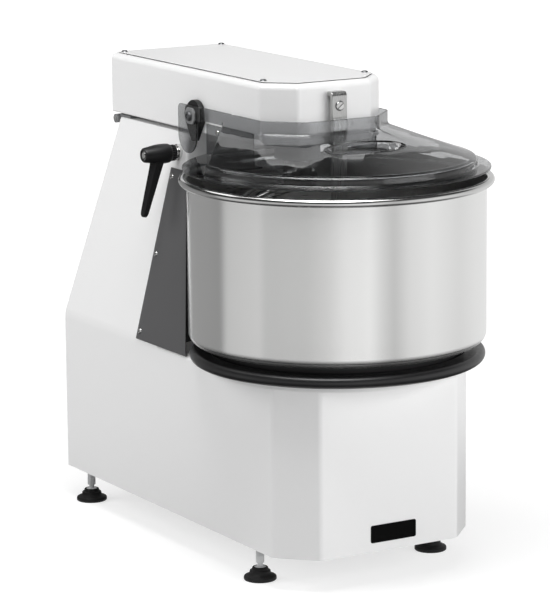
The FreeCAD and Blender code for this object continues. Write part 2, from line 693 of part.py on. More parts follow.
def spiral_hook():
    """Round bar that bends out of the shaft and winds down into the bowl."""
    radius, low, high = val("spiral_radius"), val("spiral_low"), val("spiral_high")
    turns = val("spiral_turns")
    points = []
    steps = int(turns * 16)
    for i in range(steps + 1):
        share = i / steps
        angle = 2 * math.pi * turns * share
        grow = min(1.0, share * turns / 0.45)
        out = 14 + (radius - 14) * math.sin(grow * math.pi / 2)
        points.append(Vec(out * math.cos(angle), out * math.sin(angle), high - (high - low) * share))
    curve = Part.BSplineCurve()
    curve.interpolate(points)
    path = Part.Wire([curve.toShape()])
    start, direction = curve.value(curve.FirstParameter), curve.tangent(curve.FirstParameter)[0]
    ring = Part.Wire([Part.makeCircle(val("spiral_bar"), start, direction)])
    bar = path.makePipeShell([ring], True, False)
    tip = Part.makeSphere(val("spiral_bar") - 0.05, points[-1])
    boss = Part.makeCylinder(22, val("nose_z") - 1 - (high - 16), Vec(0, 0, high - 16))
    bore = Part.makeCylinder(val("spiral_shaft"), 20, Vec(0, 0, val("nose_z") - 8))
    return bar.fuse([tip, boss]).cut(bore)


def make_breaker_bar():
    """Flat bar in front of the head, bent back to it at the top."""
    front = "head_front - bar_gap - bar_t"
    back = "head_front - bar_gap"
    body = side_prism("breaker_bar_body", [
        (front, "bar_low"), (back, "bar_low"), (back, "bar_top - bar_t"),
        ("head_front", "bar_top - bar_t"), ("head_front", "bar_top"), (front, "bar_top")],
        "-bar_width / 2", "bar_width / 2")
    round_edges(body, "breaker_bar_bend", "bar_t - 0.5",
                lambda e: e.BoundBox.XLength > 1 and abs(e.BoundBox.ZMin - val("bar_top")) < 0.01
                and abs(e.BoundBox.YMin - val(front)) < 0.01)
    spacer = cyl("breaker_bar_spacer", "9", "bar_gap + 0.5", y="head_front - bar_gap - 0.5",
                 z="bar_top - bar_screw_drop", axis="Y")
    bore = cyl("breaker_bar_bore", "bar_screw_radius", "bar_t + bar_gap + 2",
               y="head_front - bar_gap - bar_t - 1", z="bar_top - bar_screw_drop", axis="Y")
    return cut("breaker_bar_cut", fuse("breaker_bar_all", body, spacer), bore)


def make_head_shell():
    """Sheet hood of the head, open below and with a hole under its flat cover."""
    bodies = []
    for name, gap, z0, z1 in (("head_outside", "0", "head_z", "head_z + head_height"),
                              ("head_inside", "skin_t", "head_z - 20", "head_z + head_height - skin_t")):
        body = prism(name, inset(*HEAD, gap), z0, z1)
        edge = "head_edge - (%s)" % gap
        round_edges(body, name + "_corners", edge, vertical)
        top = val(z1)
        round_edges(body, name + "_top", edge,
                    lambda e, top=top: abs(e.BoundBox.ZMin - top) < 0.01 and e.BoundBox.ZLength < 0.01)
        bodies.append(body)
    opening = prism("head_opening", inset(*HEAD, "lid_inset + 10"), "head_z + head_height - 5",
                    "head_z + head_height + 5")
    bolt_holes = cyl("head_bolt_holes", "bolt_radius + run_gap", "2 * head_half + 20",
                     "-head_half - 10", "lid_hinge_y", "lid_hinge_z", "X")
    return cut("head_shell_cut", bodies[0], bodies[1], opening, bolt_holes,
               head_holes("head_shell_hole"))


def make_head_cover():
    """Flat cover sheet on the head."""
    sheet_body = prism("head_cover_sheet", inset(*HEAD, "lid_inset"), "head_z + head_height",
                       "head_z + head_height + lid_plate")
    return cut("head_cover_cut", sheet_body, head_holes("head_cover_hole"))


def head_cover_screws():
    return group("head_cover_screws_all", *[
        turned("head_cover_screw_%d" % i, screw_profile(), x, y, "head_z + head_height + lid_plate")
        for i, (x, y) in enumerate(HEAD_SCREWS)])


def make_head_plate():
    """Thick base plate that carries everything in the head."""
    plate = prism("head_plate_sheet", inset(*HEAD, "skin_t + 0.2"), "head_z", "head_z + head_plate")
    round_edges(plate, "head_plate_corners", "head_edge - skin_t", vertical)
    return cut("head_plate_cut", plate,
               cyl("head_plate_nose_hole", "nose_radius + run_gap", "head_plate + 2",
                   y="spiral_y", z="head_z - 1"),
               cyl("head_plate_input_hole", "drive_radius + 2", "head_plate + 2",
                   y="drive_y", z="head_z - 1"))


def make_head_hinge():
    """Middle barrel of the hinge, on a block under the head."""
    width = "hinge_split - loose_gap"
    barrel = cyl("head_hinge_barrel", "hinge_radius", "2 * (%s)" % width, "-(%s)" % width,
                 "hinge_y", "hinge_z", "X")
    block = box("head_hinge_block", "-(%s)" % width, width, "hinge_y - 5", "hinge_y + 5",
                "hinge_z", "head_z")
    bore = cyl("head_hinge_bore", "hinge_pin + run_gap", "2 * hinge_half", "-hinge_half",
               "hinge_y", "hinge_z", "X")
    return cut("head_hinge_cut", fuse("head_hinge_solid", barrel, block), bore)


def make_column_hinge():
    """Outer barrels of the hinge, on leaves on top of the column."""
    barrel = cyl("column_hinge_barrel", "hinge_radius", "hinge_half - hinge_split",
                 "-hinge_half", "hinge_y", "hinge_z", "X")
    leaf = box("column_hinge_leaf", "-column_half + 4", "-hinge_split", "hinge_y - hinge_leaf_length",
               "hinge_y", "column_top", "column_top + hinge_leaf")
    bore = cyl("column_hinge_bore", "hinge_pin + run_gap", "2 * hinge_half", "-hinge_half - 1",
               "hinge_y", "hinge_z", "X")
    left = cut("column_hinge_left", fuse("column_hinge_solid", barrel, leaf), bore)
    return pair("column_hinge_all", left)


def make_column_top():
    """Plate that closes the column, with slots for the lock tongue and the coupling."""
    plate = column_block("column_top_block", "-skin_t - 0.1", "column_front + skin_t + 0.1",
                         "column_top - plate_t", "column_top")
    slot = box("column_top_slot", "-tongue_x - 2", "-tongue_x + tongue_t + 2",
               "clamp_y - fork_half - 4", "clamp_y + fork_half", "column_top - plate_t - 1",
               "column_top + 1")
    hole = cyl("column_top_hole", "jaw_radius + 7", "plate_t + 2", y="drive_y",
               z="column_top - plate_t - 1")
    return cut("column_top_cut", plate, slot, hole)


def make_clamp_fork():
    """Block that holds the lock tongue between two cheeks, open at the front."""
    top = "column_top - plate_t"
    block = box("clamp_fork_block", "-column_half + skin_t + 1", "-tongue_x + tongue_t + 13",
                "clamp_y - fork_half", "clamp_y + fork_half + 6", "clamp_z - 14", top)
    slot = box("clamp_fork_slot", "-tongue_x - 0.5", "-tongue_x + tongue_t + 0.5",
               "clamp_y - fork_half - 1", "clamp_y + fork_half", "clamp_z - 15", "%s + 1" % top)
    bore = cyl("clamp_fork_bore", "clamp_stud + run_gap", "60", "-130", "clamp_y", "clamp_z", "X")
    return cut("clamp_fork_cut", block, slot, bore)


def make_lock_tongue():
    """Tongue under the head, slotted from below so that it drops over the stud."""
    plate = box("lock_tongue_plate", "-tongue_x", "-tongue_x + tongue_t", "clamp_y - tongue_half",
                "clamp_y + tongue_half", "clamp_z - 12", "head_z")
    foot = box("lock_tongue_foot", "-tongue_x", "-tongue_x + 30", "clamp_y - tongue_half",
               "clamp_y + tongue_half", "head_z - 3.5", "head_z")
    slot = box("lock_tongue_slot", "-tongue_x - 1", "-tongue_x + tongue_t + 1", "clamp_y - 9",
               "clamp_y + 11", "clamp_z - 13", "clamp_z + 10")
    return cut("lock_tongue_cut", fuse("lock_tongue_solid", plate, foot), slot)


def make_bottom_plate():
    """Sheet that closes the base below and carries the feet, motor and electric box."""
    plate = prism("bottom_sheet", inset(*BASE, "skin_t + 0.1"), "base_z", "base_z + floor_plate")
    return bored("bottom_plate", plate, "stud_radius + loose_gap", "floor_plate + 2", FEET,
                 "base_z - 1")


FEET = [("(base_half - foot_inset) * %d" % side, y) for side in (-1, 1) 
        for y in ("-base_front + foot_front_in", "base_back - foot_back_in")]


def at_feet(name, profile):
    """Turn the same piece at each of the four feet."""
    return group(name + "_all", *[turned("%s_%d" % (name, i), profile, x, y)
                                  for i, (x, y) in enumerate(FEET)])


def make_foot_nuts():
    """Hexagonal lock nuts on the stems, above the bottom plate."""
    low = "base_z + floor_plate"
    nuts = []
    for i, (x, y) in enumerate(FEET):
        corners = [("%s + %s" % (x, cx), "%s + %s" % (y, cy)) for cx, cy in hexagon("19")]
        nut = prism("foot_nut_%d" % i, corners, low, "%s + nut_height" % low)
        nuts.append(bored("foot_nut_cut_%d" % i, nut, "stud_radius", "nut_height + 2", [(x, y)],
                          "%s - 1" % low))
    return group("foot_nuts_all", *nuts)


def make_gearbox_stand():
    """Two uprights and a shelf that lift the gearbox over the floor plate."""
    wide = "gearbox_half + stand_t"
    low = "base_z + floor_plate"
    high = "gearbox_z - stand_t"
    parts = [box("stand_shelf", "-(%s)" % wide, wide, "drive_y - gearbox_half",
                 "drive_y + gearbox_half", high, "gearbox_z")]
    for side in (-1, 1):
        inner = "%d * gearbox_half" % side
        outer = "%d * (%s)" % (side, wide)
        x0, x1 = (outer, inner) if side < 0 else (inner, outer)
        parts.append(box("stand_leg_%d" % (side + 1), x0, x1, "drive_y - gearbox_half",
                         "drive_y + gearbox_half", low, high))
    return fuse("gearbox_stand_all", *parts)


def make_gearbox():
    """Right-angle gearbox, bored for the upright shaft."""
    block = box("gearbox_block", "-gearbox_half", "gearbox_half", "drive_y - gearbox_half",
                "drive_y + gearbox_half", "gearbox_z", "gearbox_top")
    boss = cyl("gearbox_boss", "28", "4", y="drive_y", z="gearbox_top")
    bore = cyl("gearbox_bore", "drive_radius + run_gap", "60", y="drive_y", z="gearbox_top - 52")
    return cut("gearbox_cut", fuse("gearbox_solid", block, boss), bore)


def make_motor():
    """Ribbed motor with its fan cowl, flanged to the front of the gearbox."""
    root = "motor_radius - 7"
    profile = [("0", "0"), ("motor_radius", "0"), ("motor_radius", "fin_gap")]
    for i in range(1, 11):
        profile += [(root, "fin_gap * %.1f" % (2 * i - 1)), (root, "fin_gap * %.1f" % (2 * i)),
                    ("motor_radius - 2", "fin_gap * %.1f" % (2 * i)),
                    ("motor_radius - 2", "fin_gap * %.1f" % (2 * i + 1))]
    end = "motor_length + cowl_length"
    profile += [(root, "fin_gap * 21"), (root, "motor_length"), ("motor_radius", "motor_length"),
                ("motor_radius", "%s - 12" % end), ("motor_radius - 10", end), ("0", end)]
    return turned("motor", profile, "0", "drive_y - gearbox_half", "gearbox_z + 48", "-Y")


def make_bridge():
    """Plate across the column that carries the upper bearing."""
    half = "base_half - (bridge_z + plate_t - deck_z) * %s - skin_t - 0.3" % LEAN
    plate = box("bridge_sheet", "-(%s)" % half, half, "drive_y - bridge_half", "drive_y + bridge_half",
                "bridge_z", "bridge_z + plate_t")
    return bored("bridge_plate", plate, "drive_radius + 3", "plate_t + 2", [("0", "drive_y")],
                 "bridge_z - 1")


def bearing_housing(name, z, height, y="drive_y"):
    """Flanged housing round the drive or input shaft."""
    bore = "drive_radius + run_gap"
    outer = "drive_radius + pillow_wall"
    return turned(name, [(bore, "0"), ("%s + 15" % outer, "0"), ("%s + 15" % outer, "7"),
                         (outer, "9"), (outer, height), (bore, height)], "0", y, z)


def make_lower_coupling():
    """Disc with a tongue on the drive shaft."""
    disc = tube("lower_jaw_disc", "jaw_radius", "drive_radius", "jaw_t", "0", "drive_y",
                "jaw_z - jaw_t")
    tongue = common("lower_jaw_tongue",
                    cyl("lower_jaw_round", "jaw_radius", "jaw_depth + 2", y="drive_y", z="jaw_z - 2"),
                    box("lower_jaw_block", "-jaw_radius", "jaw_radius", "drive_y - jaw_width / 2",
                        "drive_y + jaw_width / 2", "jaw_z - 2", "jaw_z + jaw_depth"))
    return fuse("lower_coupling_all", disc, tongue)


def make_upper_coupling():
    """Disc with a wide slot that drops over the tongue when the head is lowered."""
    low = "jaw_z + loose_gap"
    body = turned("upper_jaw_body", [("0", low), ("jaw_radius", low),
                                     ("jaw_radius", "%s + jaw_t" % low), ("20", "%s + jaw_t" % low),
                                     ("20", "head_z - 4"), ("drive_radius", "head_z - 4"),
                                     ("drive_radius", "%s + jaw_t" % low),
                                     ("0", "%s + jaw_t" % low)], "0", "drive_y")
    half = "jaw_width / 2 + 2.5"
    slot = box("upper_jaw_slot", "-jaw_radius - 1", "jaw_radius + 1", "drive_y - (%s)" % half,
               "drive_y + %s" % half, "jaw_z - 1", "jaw_z + jaw_depth + 1")
    return cut("upper_coupling_cut", body, slot)


def make_rear_shield():
    """Fixed plate over the back of the bowl, with upstands that screw to the head."""
    disc = common("shield_disc_cut",
                  cyl("shield_disc", SHIELD_R, "shield_t", z="shield_z"),
                  box("shield_half", "-(%s)" % SHIELD_R, SHIELD_R, "shield_front", SHIELD_R,
                      "shield_z", "shield_z + shield_t"))
    inner = "head_half + loose_gap"
    slot_end = "sqrt((%s) ^ 2 - (%s) ^ 2) - shield_web" % (SHIELD_R, inner)
    slot = box("shield_slot_box", "-(%s)" % inner, inner, "0", slot_end, "shield_z - 1",
               "shield_z + shield_t + 1")
    wall = box("shield_upstand", "-(%s + shield_wall)" % inner, "-(%s)" % inner,
               "shield_wall_front", "ear_front", "shield_z", "shield_top")
    return fuse("rear_shield_all", cut("shield_plate", disc, slot), pair("shield_upstands", wall))


def make_shield_screws():
    """Two screws a side through the upstands."""
    x = "-(head_half + loose_gap + shield_wall)"
    left = group("shield_screws_left", *[
        turned("shield_screw_%d" % i, [("0", "0"), ("screw_radius", "0"),
                                       ("screw_radius", "screw_height / 2"),
                                       ("screw_radius * 0.6", "screw_height"),
                                       ("0", "screw_height")], x, y, "shield_screw_z", "-X")
        for i, y in enumerate(("shield_wall_front + shield_screw_in", "ear_front - shield_screw_in"))])
    return pair("shield_screws_all", left)


def make_hinge_blocks():
    """Black blocks on the head's sides that carry the guard's bolts."""
    x = "-(head_half + ear_gap - loose_gap)"
    thick = "ear_gap - loose_gap"
    disc = cyl("hinge_block_disc", "block_radius", thick, x, "lid_hinge_y", "lid_hinge_z", "X")
    foot = side_prism("hinge_block_foot", [
        ("lid_hinge_y - block_radius * 0.97", "lid_hinge_z - block_radius * 0.3"),
        ("lid_hinge_y - 8", "block_low"), ("lid_hinge_y + 8", "block_low"),
        ("lid_hinge_y + block_radius * 0.97", "lid_hinge_z - block_radius * 0.3")],
        x, "-head_half")
    bore = cyl("hinge_block_bore", "bolt_radius + run_gap", "40", "%s - 10" % x, "lid_hinge_y",
               "lid_hinge_z", "X")
    return pair("lid_hinge_blocks_all", cut("hinge_block_cut", fuse("hinge_block", disc, foot), bore))


def make_hinge_bolts():
    """Bolts that turn with the guard, with their nuts inside the head."""
    x = "-(head_half - skin_t - 7)"
    length = "skin_t + 7 + ear_gap + guard_t + 3"
    bolt = turned("lid_hinge_bolt", [
        ("0", "0"), ("8", "0"), ("8", "5"), ("bolt_radius", "5"), ("bolt_radius", length),
        ("7.8", length), ("7.8", "%s + 4" % length), ("6.5", "%s + 5" % length),
        ("0", "%s + 5" % length)], x, "lid_hinge_y", "lid_hinge_z", "-X")
    return pair("lid_hinge_bolts_all", bolt)


def make_hinge_plates():
    """Square grey washers over the guard's ears."""
    x = "-(head_half + ear_gap + guard_t + 3)"
    plate = box("lid_washer", x, "%s + 3" % x, "lid_hinge_y - washer_half",
                "lid_hinge_y + washer_half", "lid_hinge_z - washer_half", "lid_hinge_z + washer_half")
    bore = cyl("lid_washer_bore", "bolt_radius", "5", "%s - 1" % x, "lid_hinge_y", "lid_hinge_z", "X")
    return pair("lid_hinge_plates_all", cut("lid_washer_cut", plate, bore))


def guard_solid(gap, low, high):
    """Solid dome from the collar's outline down to the round skirt, drawn in by a gap."""
    half, front = val("collar_half") - gap, -val("collar_front") + gap
    chamfer = val("collar_chamfer") - 0.586 * gap
    back = val("collar_back")
    corners = [(-half, back), (-half, front + chamfer), (-half + chamfer, front),
               (half - chamfer, front), (half, front + chamfer), (half, back)]

    def square(z):
        spots = [Vec(x, y, z) for x, y in corners]
        return Part.Wire([Part.makeLine(a, b) for a, b in zip(spots, spots[1:] + spots[:1])])

    def round_wire(radius, z):
        end = val("skirt_back")
        last = 90 + math.degrees(math.asin(end / radius))
        angles = [-last, -65, -25, 25, 65, last]

        def at(degrees):
            turn = math.radians(degrees)
            return Vec(radius * math.sin(turn), -radius * math.cos(turn), z)
        edges = [Part.Arc(at(a), at((a + b) / 2), at(b)).toShape()
                 for a, b in zip(angles, angles[1:])]
        edges.append(Part.makeLine(at(last), at(-last)))
        return Part.Wire(edges)

    drop = gap * 1.07
    middle = (val("dome_radius") + val("skirt_radius")) / 2 + 1
    rings = [(val("dome_radius") - gap * 0.4, val("dome_z") - drop),
             (middle - gap, (val("dome_z") + val("skirt_top")) / 2 + 1 - gap * 0.4),
             (val("skirt_radius") - gap, val("skirt_top")), (val("skirt_radius") - gap, low)]
    wires = [square(high), square(val("collar_low") - drop)]
    wires += [round_wire(radius, z) for radius, z in rings]
    return Part.makeLoft(wires, True, True)


def guard_lid():
    """See-through guard: collar, dome and skirt in one sheet, with arms and ears."""
    low, high, gap = val("skirt_low"), val("collar_top"), val("guard_t")
    shell = guard_solid(0, low, high).cut(guard_solid(gap, low - 5, high + 5))
    back = Part.makeBox(600, 400, 200, Vec(-300, val("collar_back") - 0.01, low - 20))
    shell = shell.cut(back)
    rear = Part.makePolygon([Vec(-300, val("skirt_back"), low - 10),
                             Vec(-300, val("skirt_back"), val("dome_z")),
                             Vec(-300, val("collar_back"), val("collar_low")),
                             Vec(-300, val("collar_back"), high + 10), Vec(-300, 500, high + 10),
                             Vec(-300, 500, low - 10), Vec(-300, val("skirt_back"), low - 10)])
    shell = shell.cut(Part.Face(rear).extrude(Vec(600, 0, 0)))
    brim = Part.makeCylinder(val("bowl_radius + shield_over"), gap, Vec(0, 0, low))
    brim = brim.cut(Part.makeCylinder(val("skirt_radius") - gap, gap, Vec(0, 0, low)))
    brim = brim.cut(Part.makeBox(600, 400, gap, Vec(-300, val("skirt_back"), low)))
    half, ear_x = val("collar_half"), val("head_half") + val("ear_gap")
    front, back_y, low_z, top_z = (val(n) for n in ("ear_front", "ear_back", "ear_low", "ear_top"))
    foot_front = val("ear_foot_front")
    radius = (back_y - foot_front) / 2
    sides = [brim]
    for side in (-1, 1):
        def block(x0, x1, y0, y1, z0, z1, side=side):
            a, b = sorted((side * x0, side * x1))
            return Part.makeBox(b - a, y1 - y0, z1 - z0, Vec(a, y0, z0))
        arm = block(half - gap, half, val("collar_back") - 0.5, front + gap, val("collar_low"), high)
        web = block(half - gap, ear_x + gap, front, front + gap, val("collar_low"), high)
        ear = block(ear_x, ear_x + gap, foot_front, back_y, low_z + radius, top_z)
        shoulder = block(ear_x, ear_x + gap, front, foot_front + 1, val("collar_low"), high)
        foot = Part.makeCylinder(radius, gap, Vec(side * ear_x, (foot_front + back_y) / 2,
                                                  low_z + radius), Vec(side, 0, 0))
        bore = Part.makeCylinder(val("bolt_radius"), 40, Vec(side * (ear_x - 10),
                                                             val("lid_hinge_y"),
                                                             val("lid_hinge_z")), Vec(side, 0, 0))
        sides.append(arm.fuse([web, shoulder, ear, foot]).cut(bore))
    return shell.fuse(sides).removeSplitter()


def clamp_lever():
    """Hub with a stud at its inner end and a bent arm that hangs down."""
    inner, outer = val("clamp_in"), val("clamp_out")
    radius, taper, width = val("clamp_hub"), val("clamp_wide"), val("clamp_collar_width")
    inwards = Vec(1, 0, 0)
    cone = Part.makeCone(val("clamp_end"), radius, taper, Vec(-outer, 0, 0), inwards)
    belly = Part.makeCylinder(radius, outer - taper - inner - width, Vec(taper - outer, 0, 0), inwards)
    collar = Part.makeCylinder(val("clamp_collar"), width, Vec(-inner - width, 0, 0), inwards)
    stud = Part.makeCylinder(val("clamp_stud"), inner - 78, Vec(-inner, 0, 0), inwards)
    end = val("clamp_tip")
    middle = (inner + outer) / 2
    start = Vec(-middle - 2, 0, 0)
    tip = Vec(-middle - val("clamp_lean"), 0, -val("clamp_drop") + end)
    arm = Part.makeCone(val("clamp_arm"), end, (tip - start).Length, start, tip - start)
    return cone.fuse([belly, collar, stud, arm, Part.makeSphere(end, tip)])


def make_switch_panel():
    """Raised switch box on the right side of the column, bored for two buttons."""
    plate = box("switch_box", "-panel_height / 2", "panel_height / 2", "-panel_width / 2",
                "panel_width / 2", "0", "panel_depth")
    holes = [cyl("switch_hole_%d" % i, "button_radius + run_gap", "panel_depth", "%s * button_pitch / 2" % s,
                 "0", "2") for i, s in enumerate(("-1", "1"))]
    return cut("switch_panel_cut", plate, *holes)


def make_button(name, shift):
    """Push button, standing proud of its box by twice its stroke."""
    low = "2 + button_travel + loose_gap"
    profile = [("0", low), ("button_radius", low), ("button_radius", "panel_depth + button_travel"),
               ("button_radius - 2", "panel_depth + 2 * button_travel"),
               ("0", "panel_depth + 2 * button_travel")]
    body = turned(name + "_body", profile, shift)
    return group(name + "_all", body)


STEM = [("0", "8"), ("9", "8"), ("9", "pad_height"), ("stem_radius", "pad_height"),
        ("stem_radius", "pad_height + 6"), ("stud_radius", "pad_height + 6"),
        ("stud_radius", "base_z + 30"), ("0", "base_z + 30")]
PAD = [("0", "0"), ("pad_radius", "0"), ("pad_radius", "5"), ("pad_radius - 6", "13"),
       ("13", "pad_height"), ("9", "pad_height"), ("9", "8"), ("0", "8")]
GLAND = [("4", "-10"), ("12", "-10"), ("12", "-skin_t"), ("8.9", "-skin_t"), ("8.9", "0"),
         ("13", "0"), ("13", "6"), ("10.5", "8"), ("9", "16"), ("4", "16")]
NOSE = [("spiral_shaft + nose_lip", "nose_z"), ("nose_radius", "nose_z"),
        ("nose_radius", "head_z + head_plate"),
        ("nose_flange", "head_z + head_plate"), ("nose_flange", "head_z + head_plate + nose_flange_t"),
        ("nose_bore", "head_z + head_plate + nose_flange_t"), ("nose_bore", "nose_z + nose_lip"),
        ("spiral_shaft + nose_lip", "nose_z + nose_lip")]

# base and column
node("cabinet", make_cabinet())
node("column_cover", make_column_cover())
node("column_cover_screws",
     at_cover_screws("cover_screw", lambda name: turned(name, screw_profile("cover_t"))))
node("bottom_plate", make_bottom_plate())
node("deck_plate", tube("deck_plate", "deck_radius", "bearing_radius + housing_wall + 1", "deck_t",
                        z="deck_z"))
node("base_ring", rounded_disc("base_ring", "ring_radius", "table_radius + ring_gap", "deck_z + deck_t",
                               "ring_height", "ring_lip"))
node("bowl_housing", make_housing())
node("bowl_bearings", group("bowl_bearings_all", *[
    tube("bowl_bearing_%d" % i, "bearing_radius", "shaft_radius + run_gap", "bearing_width", z=z)
    for i, z in enumerate(("housing_z + 6", "deck_z + deck_t - 6 - bearing_width"))]))
node("gearbox_stand", make_gearbox_stand())
node("gearbox", make_gearbox())
node("motor", make_motor())
node("electric_box", box("electric_box", "-case_width / 2", "case_width / 2",
                          "-base_front + case_front", "-base_front + case_front + case_length",
                          "base_z + floor_plate", "base_z + floor_plate + case_height"))
node("bridge_plate", make_bridge())
node("upper_bearing", bearing_housing("upper_bearing", "bridge_z + plate_t", "pillow_height"))
node("column_top_plate", make_column_top())
node("column_hinge", make_column_hinge())
node("hinge_pin", cyl("hinge_pin", "hinge_pin", "2 * hinge_half + 2", "-hinge_half - 1", "hinge_y",
                      "hinge_z", "X"))
node("clamp_fork", make_clamp_fork())
node("foot_pads", at_feet("foot_pad", PAD))
node("foot_stems", at_feet("foot_stem", STEM))
node("foot_nuts", make_foot_nuts())
node("badge", box("badge", "badge_x - badge_width / 2", "badge_x + badge_width / 2",
                  "-base_front - 1", "-base_front", "badge_z - badge_height / 2",
                  "badge_z + badge_height / 2"))
node("cable_gland", turned("cable_gland", GLAND, "base_half", "gland_y", "gland_z", "X"))
node("switch_panel", lean_place(make_switch_panel(), "panel_y", "panel_z", 1))
node("lower_chain", place(fixed("lower_chain", chain_loop("bowl_teeth", "drive_teeth", "drive_y")),
                          z="chain_z"))

# bowl and its drive
node("bowl_shaft", make_bowl_shaft())
node("bowl_sprocket", place(fixed("bowl_sprocket", sprocket("bowl_teeth", "shaft_radius", "34")),
                            z="chain_z"))
node("turntable", make_turntable())
node("bowl", make_bowl())
node("bowl_hub", make_bowl_hub())
node("drive_shaft", cyl("drive_shaft", "drive_radius", "jaw_z - 2 - (gearbox_top - 50)", y="drive_y",
                        z="gearbox_top - 50"))
node("drive_sprocket", place(fixed("drive_sprocket", sprocket("drive_teeth", "drive_radius", "16.4")),
                             "0", "drive_y", "chain_z"))
node("lower_coupling", make_lower_coupling())

# head
node("head_shell", make_head_shell())
node("head_cover", make_head_cover())
node("head_cover_screws", head_cover_screws())
node("head_base_plate", fuse("head_base_all", make_head_plate(), make_head_hinge()))
node("lock_tongue", make_lock_tongue())
node("spiral_nose", turned("spiral_nose", NOSE, "0", "spiral_y"))
node("spiral_bearings", group("spiral_bearings_all", *[
    tube("spiral_bearing_%d" % i, "nose_bore", "spiral_shaft", "nose_bearing", "0", "spiral_y", z)
    for i, z in enumerate(("nose_z + nose_lip", "head_z + head_plate + nose_flange_t - 2 - nose_bearing"))]))
node("input_housing", bearing_housing("input_housing", "head_z + head_plate", "input_height"))
node("head_chain", place(fixed("head_chain", chain_loop("spiral_teeth", "input_teeth",
                                                        "drive_y - spiral_y")),
                         "0", "spiral_y", "head_chain_z"))
node("breaker_bar", make_breaker_bar())
node("breaker_bar_screw", turned("breaker_bar_screw", [
    ("0", "-bar_t - bar_gap"), ("bar_screw_radius", "-bar_t - bar_gap"), ("bar_screw_radius", "0"),
    ("bar_screw_radius + 3", "0"), ("bar_screw_radius + 3", "1.2"), ("bar_screw_radius + 2", "2"),
    ("0", "2")],
    "0", "head_front - bar_gap - bar_t", "bar_top - bar_screw_drop", "-Y"))
node("rear_shield", make_rear_shield())
node("shield_screws", make_shield_screws())
node("lid_hinge_blocks", make_hinge_blocks())

# shafts that run in the head
node("input_shaft", cyl("input_shaft", "drive_radius", "head_chain_z + 18 - (jaw_z + loose_gap + jaw_t)",
                        y="drive_y", z="jaw_z + loose_gap + jaw_t"))
node("input_sprocket", place(fixed("input_sprocket", sprocket("input_teeth", "drive_radius", "22")),
                             "0", "drive_y", "head_chain_z"))
node("upper_coupling", make_upper_coupling())
node("spiral_shaft", cyl("spiral_shaft", "spiral_shaft - run_gap", "head_chain_z + 18 - (nose_z - 8)",
                         y="spiral_y", z="nose_z - 8"))
node("spiral_sprocket", place(fixed("spiral_sprocket",
                                    sprocket("spiral_teeth", "spiral_shaft - run_gap", "24")),
                              "0", "spiral_y", "head_chain_z"))
node("spiral_hook", place(fixed("spiral_hook", spiral_hook), "0", "spiral_y"))

# guard, lever and buttons
node("guard_lid", place(fixed("guard_lid", guard_lid)))
node("lid_hinge_plates", make_hinge_plates())
node("lid_hinge_bolts", make_hinge_bolts())
node("clamp_lever", place(fixed("clamp_lever", clamp_lever), "0", "clamp_y", "clamp_z"))
for name, shift in (("start_button", "button_pitch / 2"), ("stop_button", "-button_pitch / 2")):
    node(name, lean_place(make_button(name, shift), "panel_y", "panel_z", 1))

doc.recompute()
for obj in doc.Objects:
    if {"Invalid", "Error"} & set(obj.State):
        raise RuntimeError("%s did not compute: %s" % (obj.Name, obj.State))
for name, obj in nodes.items():
    if obj.Shape.isNull() or not obj.Shape.isValid():
        raise RuntimeError("%s has no valid shape" % name)

os.makedirs("parts", exist_ok=True)
for name, obj in nodes.items():
    obj.Shape.exportStep("parts/%s.step" % name)
print("%d sub-parts written" % len(nodes))
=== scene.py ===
# %% [markdown]
# # A free-standing spiral dough mixer
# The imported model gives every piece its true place. This lesson dresses it: sheet steel gets
# its bends, the bowl its turned wall, the guard its clear plastic, and each surface a finish
# that starts from how the real one was made. All sizes below are in millimetres about the
# bowl's upright axis, with the floor at height 0 and the front towards -Y.

# %% Load the frame
import math

import bmesh
import bpy
from mathutils import Matrix, Vector


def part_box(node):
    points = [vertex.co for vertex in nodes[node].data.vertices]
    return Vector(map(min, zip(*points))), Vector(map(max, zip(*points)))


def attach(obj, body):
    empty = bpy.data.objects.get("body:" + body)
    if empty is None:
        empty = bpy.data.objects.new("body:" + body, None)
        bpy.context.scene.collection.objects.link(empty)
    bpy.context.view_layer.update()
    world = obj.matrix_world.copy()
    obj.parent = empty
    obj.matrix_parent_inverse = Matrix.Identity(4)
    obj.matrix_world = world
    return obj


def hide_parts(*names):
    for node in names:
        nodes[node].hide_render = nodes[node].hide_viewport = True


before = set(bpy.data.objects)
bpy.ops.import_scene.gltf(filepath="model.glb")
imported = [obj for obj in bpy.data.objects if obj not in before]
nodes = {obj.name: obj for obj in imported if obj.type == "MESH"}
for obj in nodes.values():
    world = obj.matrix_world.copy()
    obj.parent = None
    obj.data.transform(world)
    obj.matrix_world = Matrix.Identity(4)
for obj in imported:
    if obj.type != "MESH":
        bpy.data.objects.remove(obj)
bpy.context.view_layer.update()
scene = bpy.context.scene
low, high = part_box("turntable")
AXIS_Y = (low.y + high.y) / 2
print("bowl axis at y = %.4f m" % AXIS_Y)


def spot(x, y, z):
    """Millimetres about the bowl's axis to metres in the frame."""
    return Vector((x / 1000, y / 1000 + AXIS_Y, z / 1000))


def placed(name, data):
    """Put data into the scene as an object at the origin."""
    made = bpy.data.objects.new(name, data)
    scene.collection.objects.link(made)
    return made


def aim(azimuth, elevation):
    """Unit vector out of the machine, in degrees from the front and up from the floor."""
    a, e = math.radians(azimuth), math.radians(elevation)
    return Vector((math.sin(a) * math.cos(e), -math.cos(a) * math.cos(e), math.sin(e)))


# %% [markdown]
# ## Camera
# A long lens from the left front, a little above the bowl, keeps the upright edges nearly
# parallel. The camera could be aimed with a constraint, but here its axes are worked out from
# three angles, because a small roll is easier to add that way and nothing stays live.

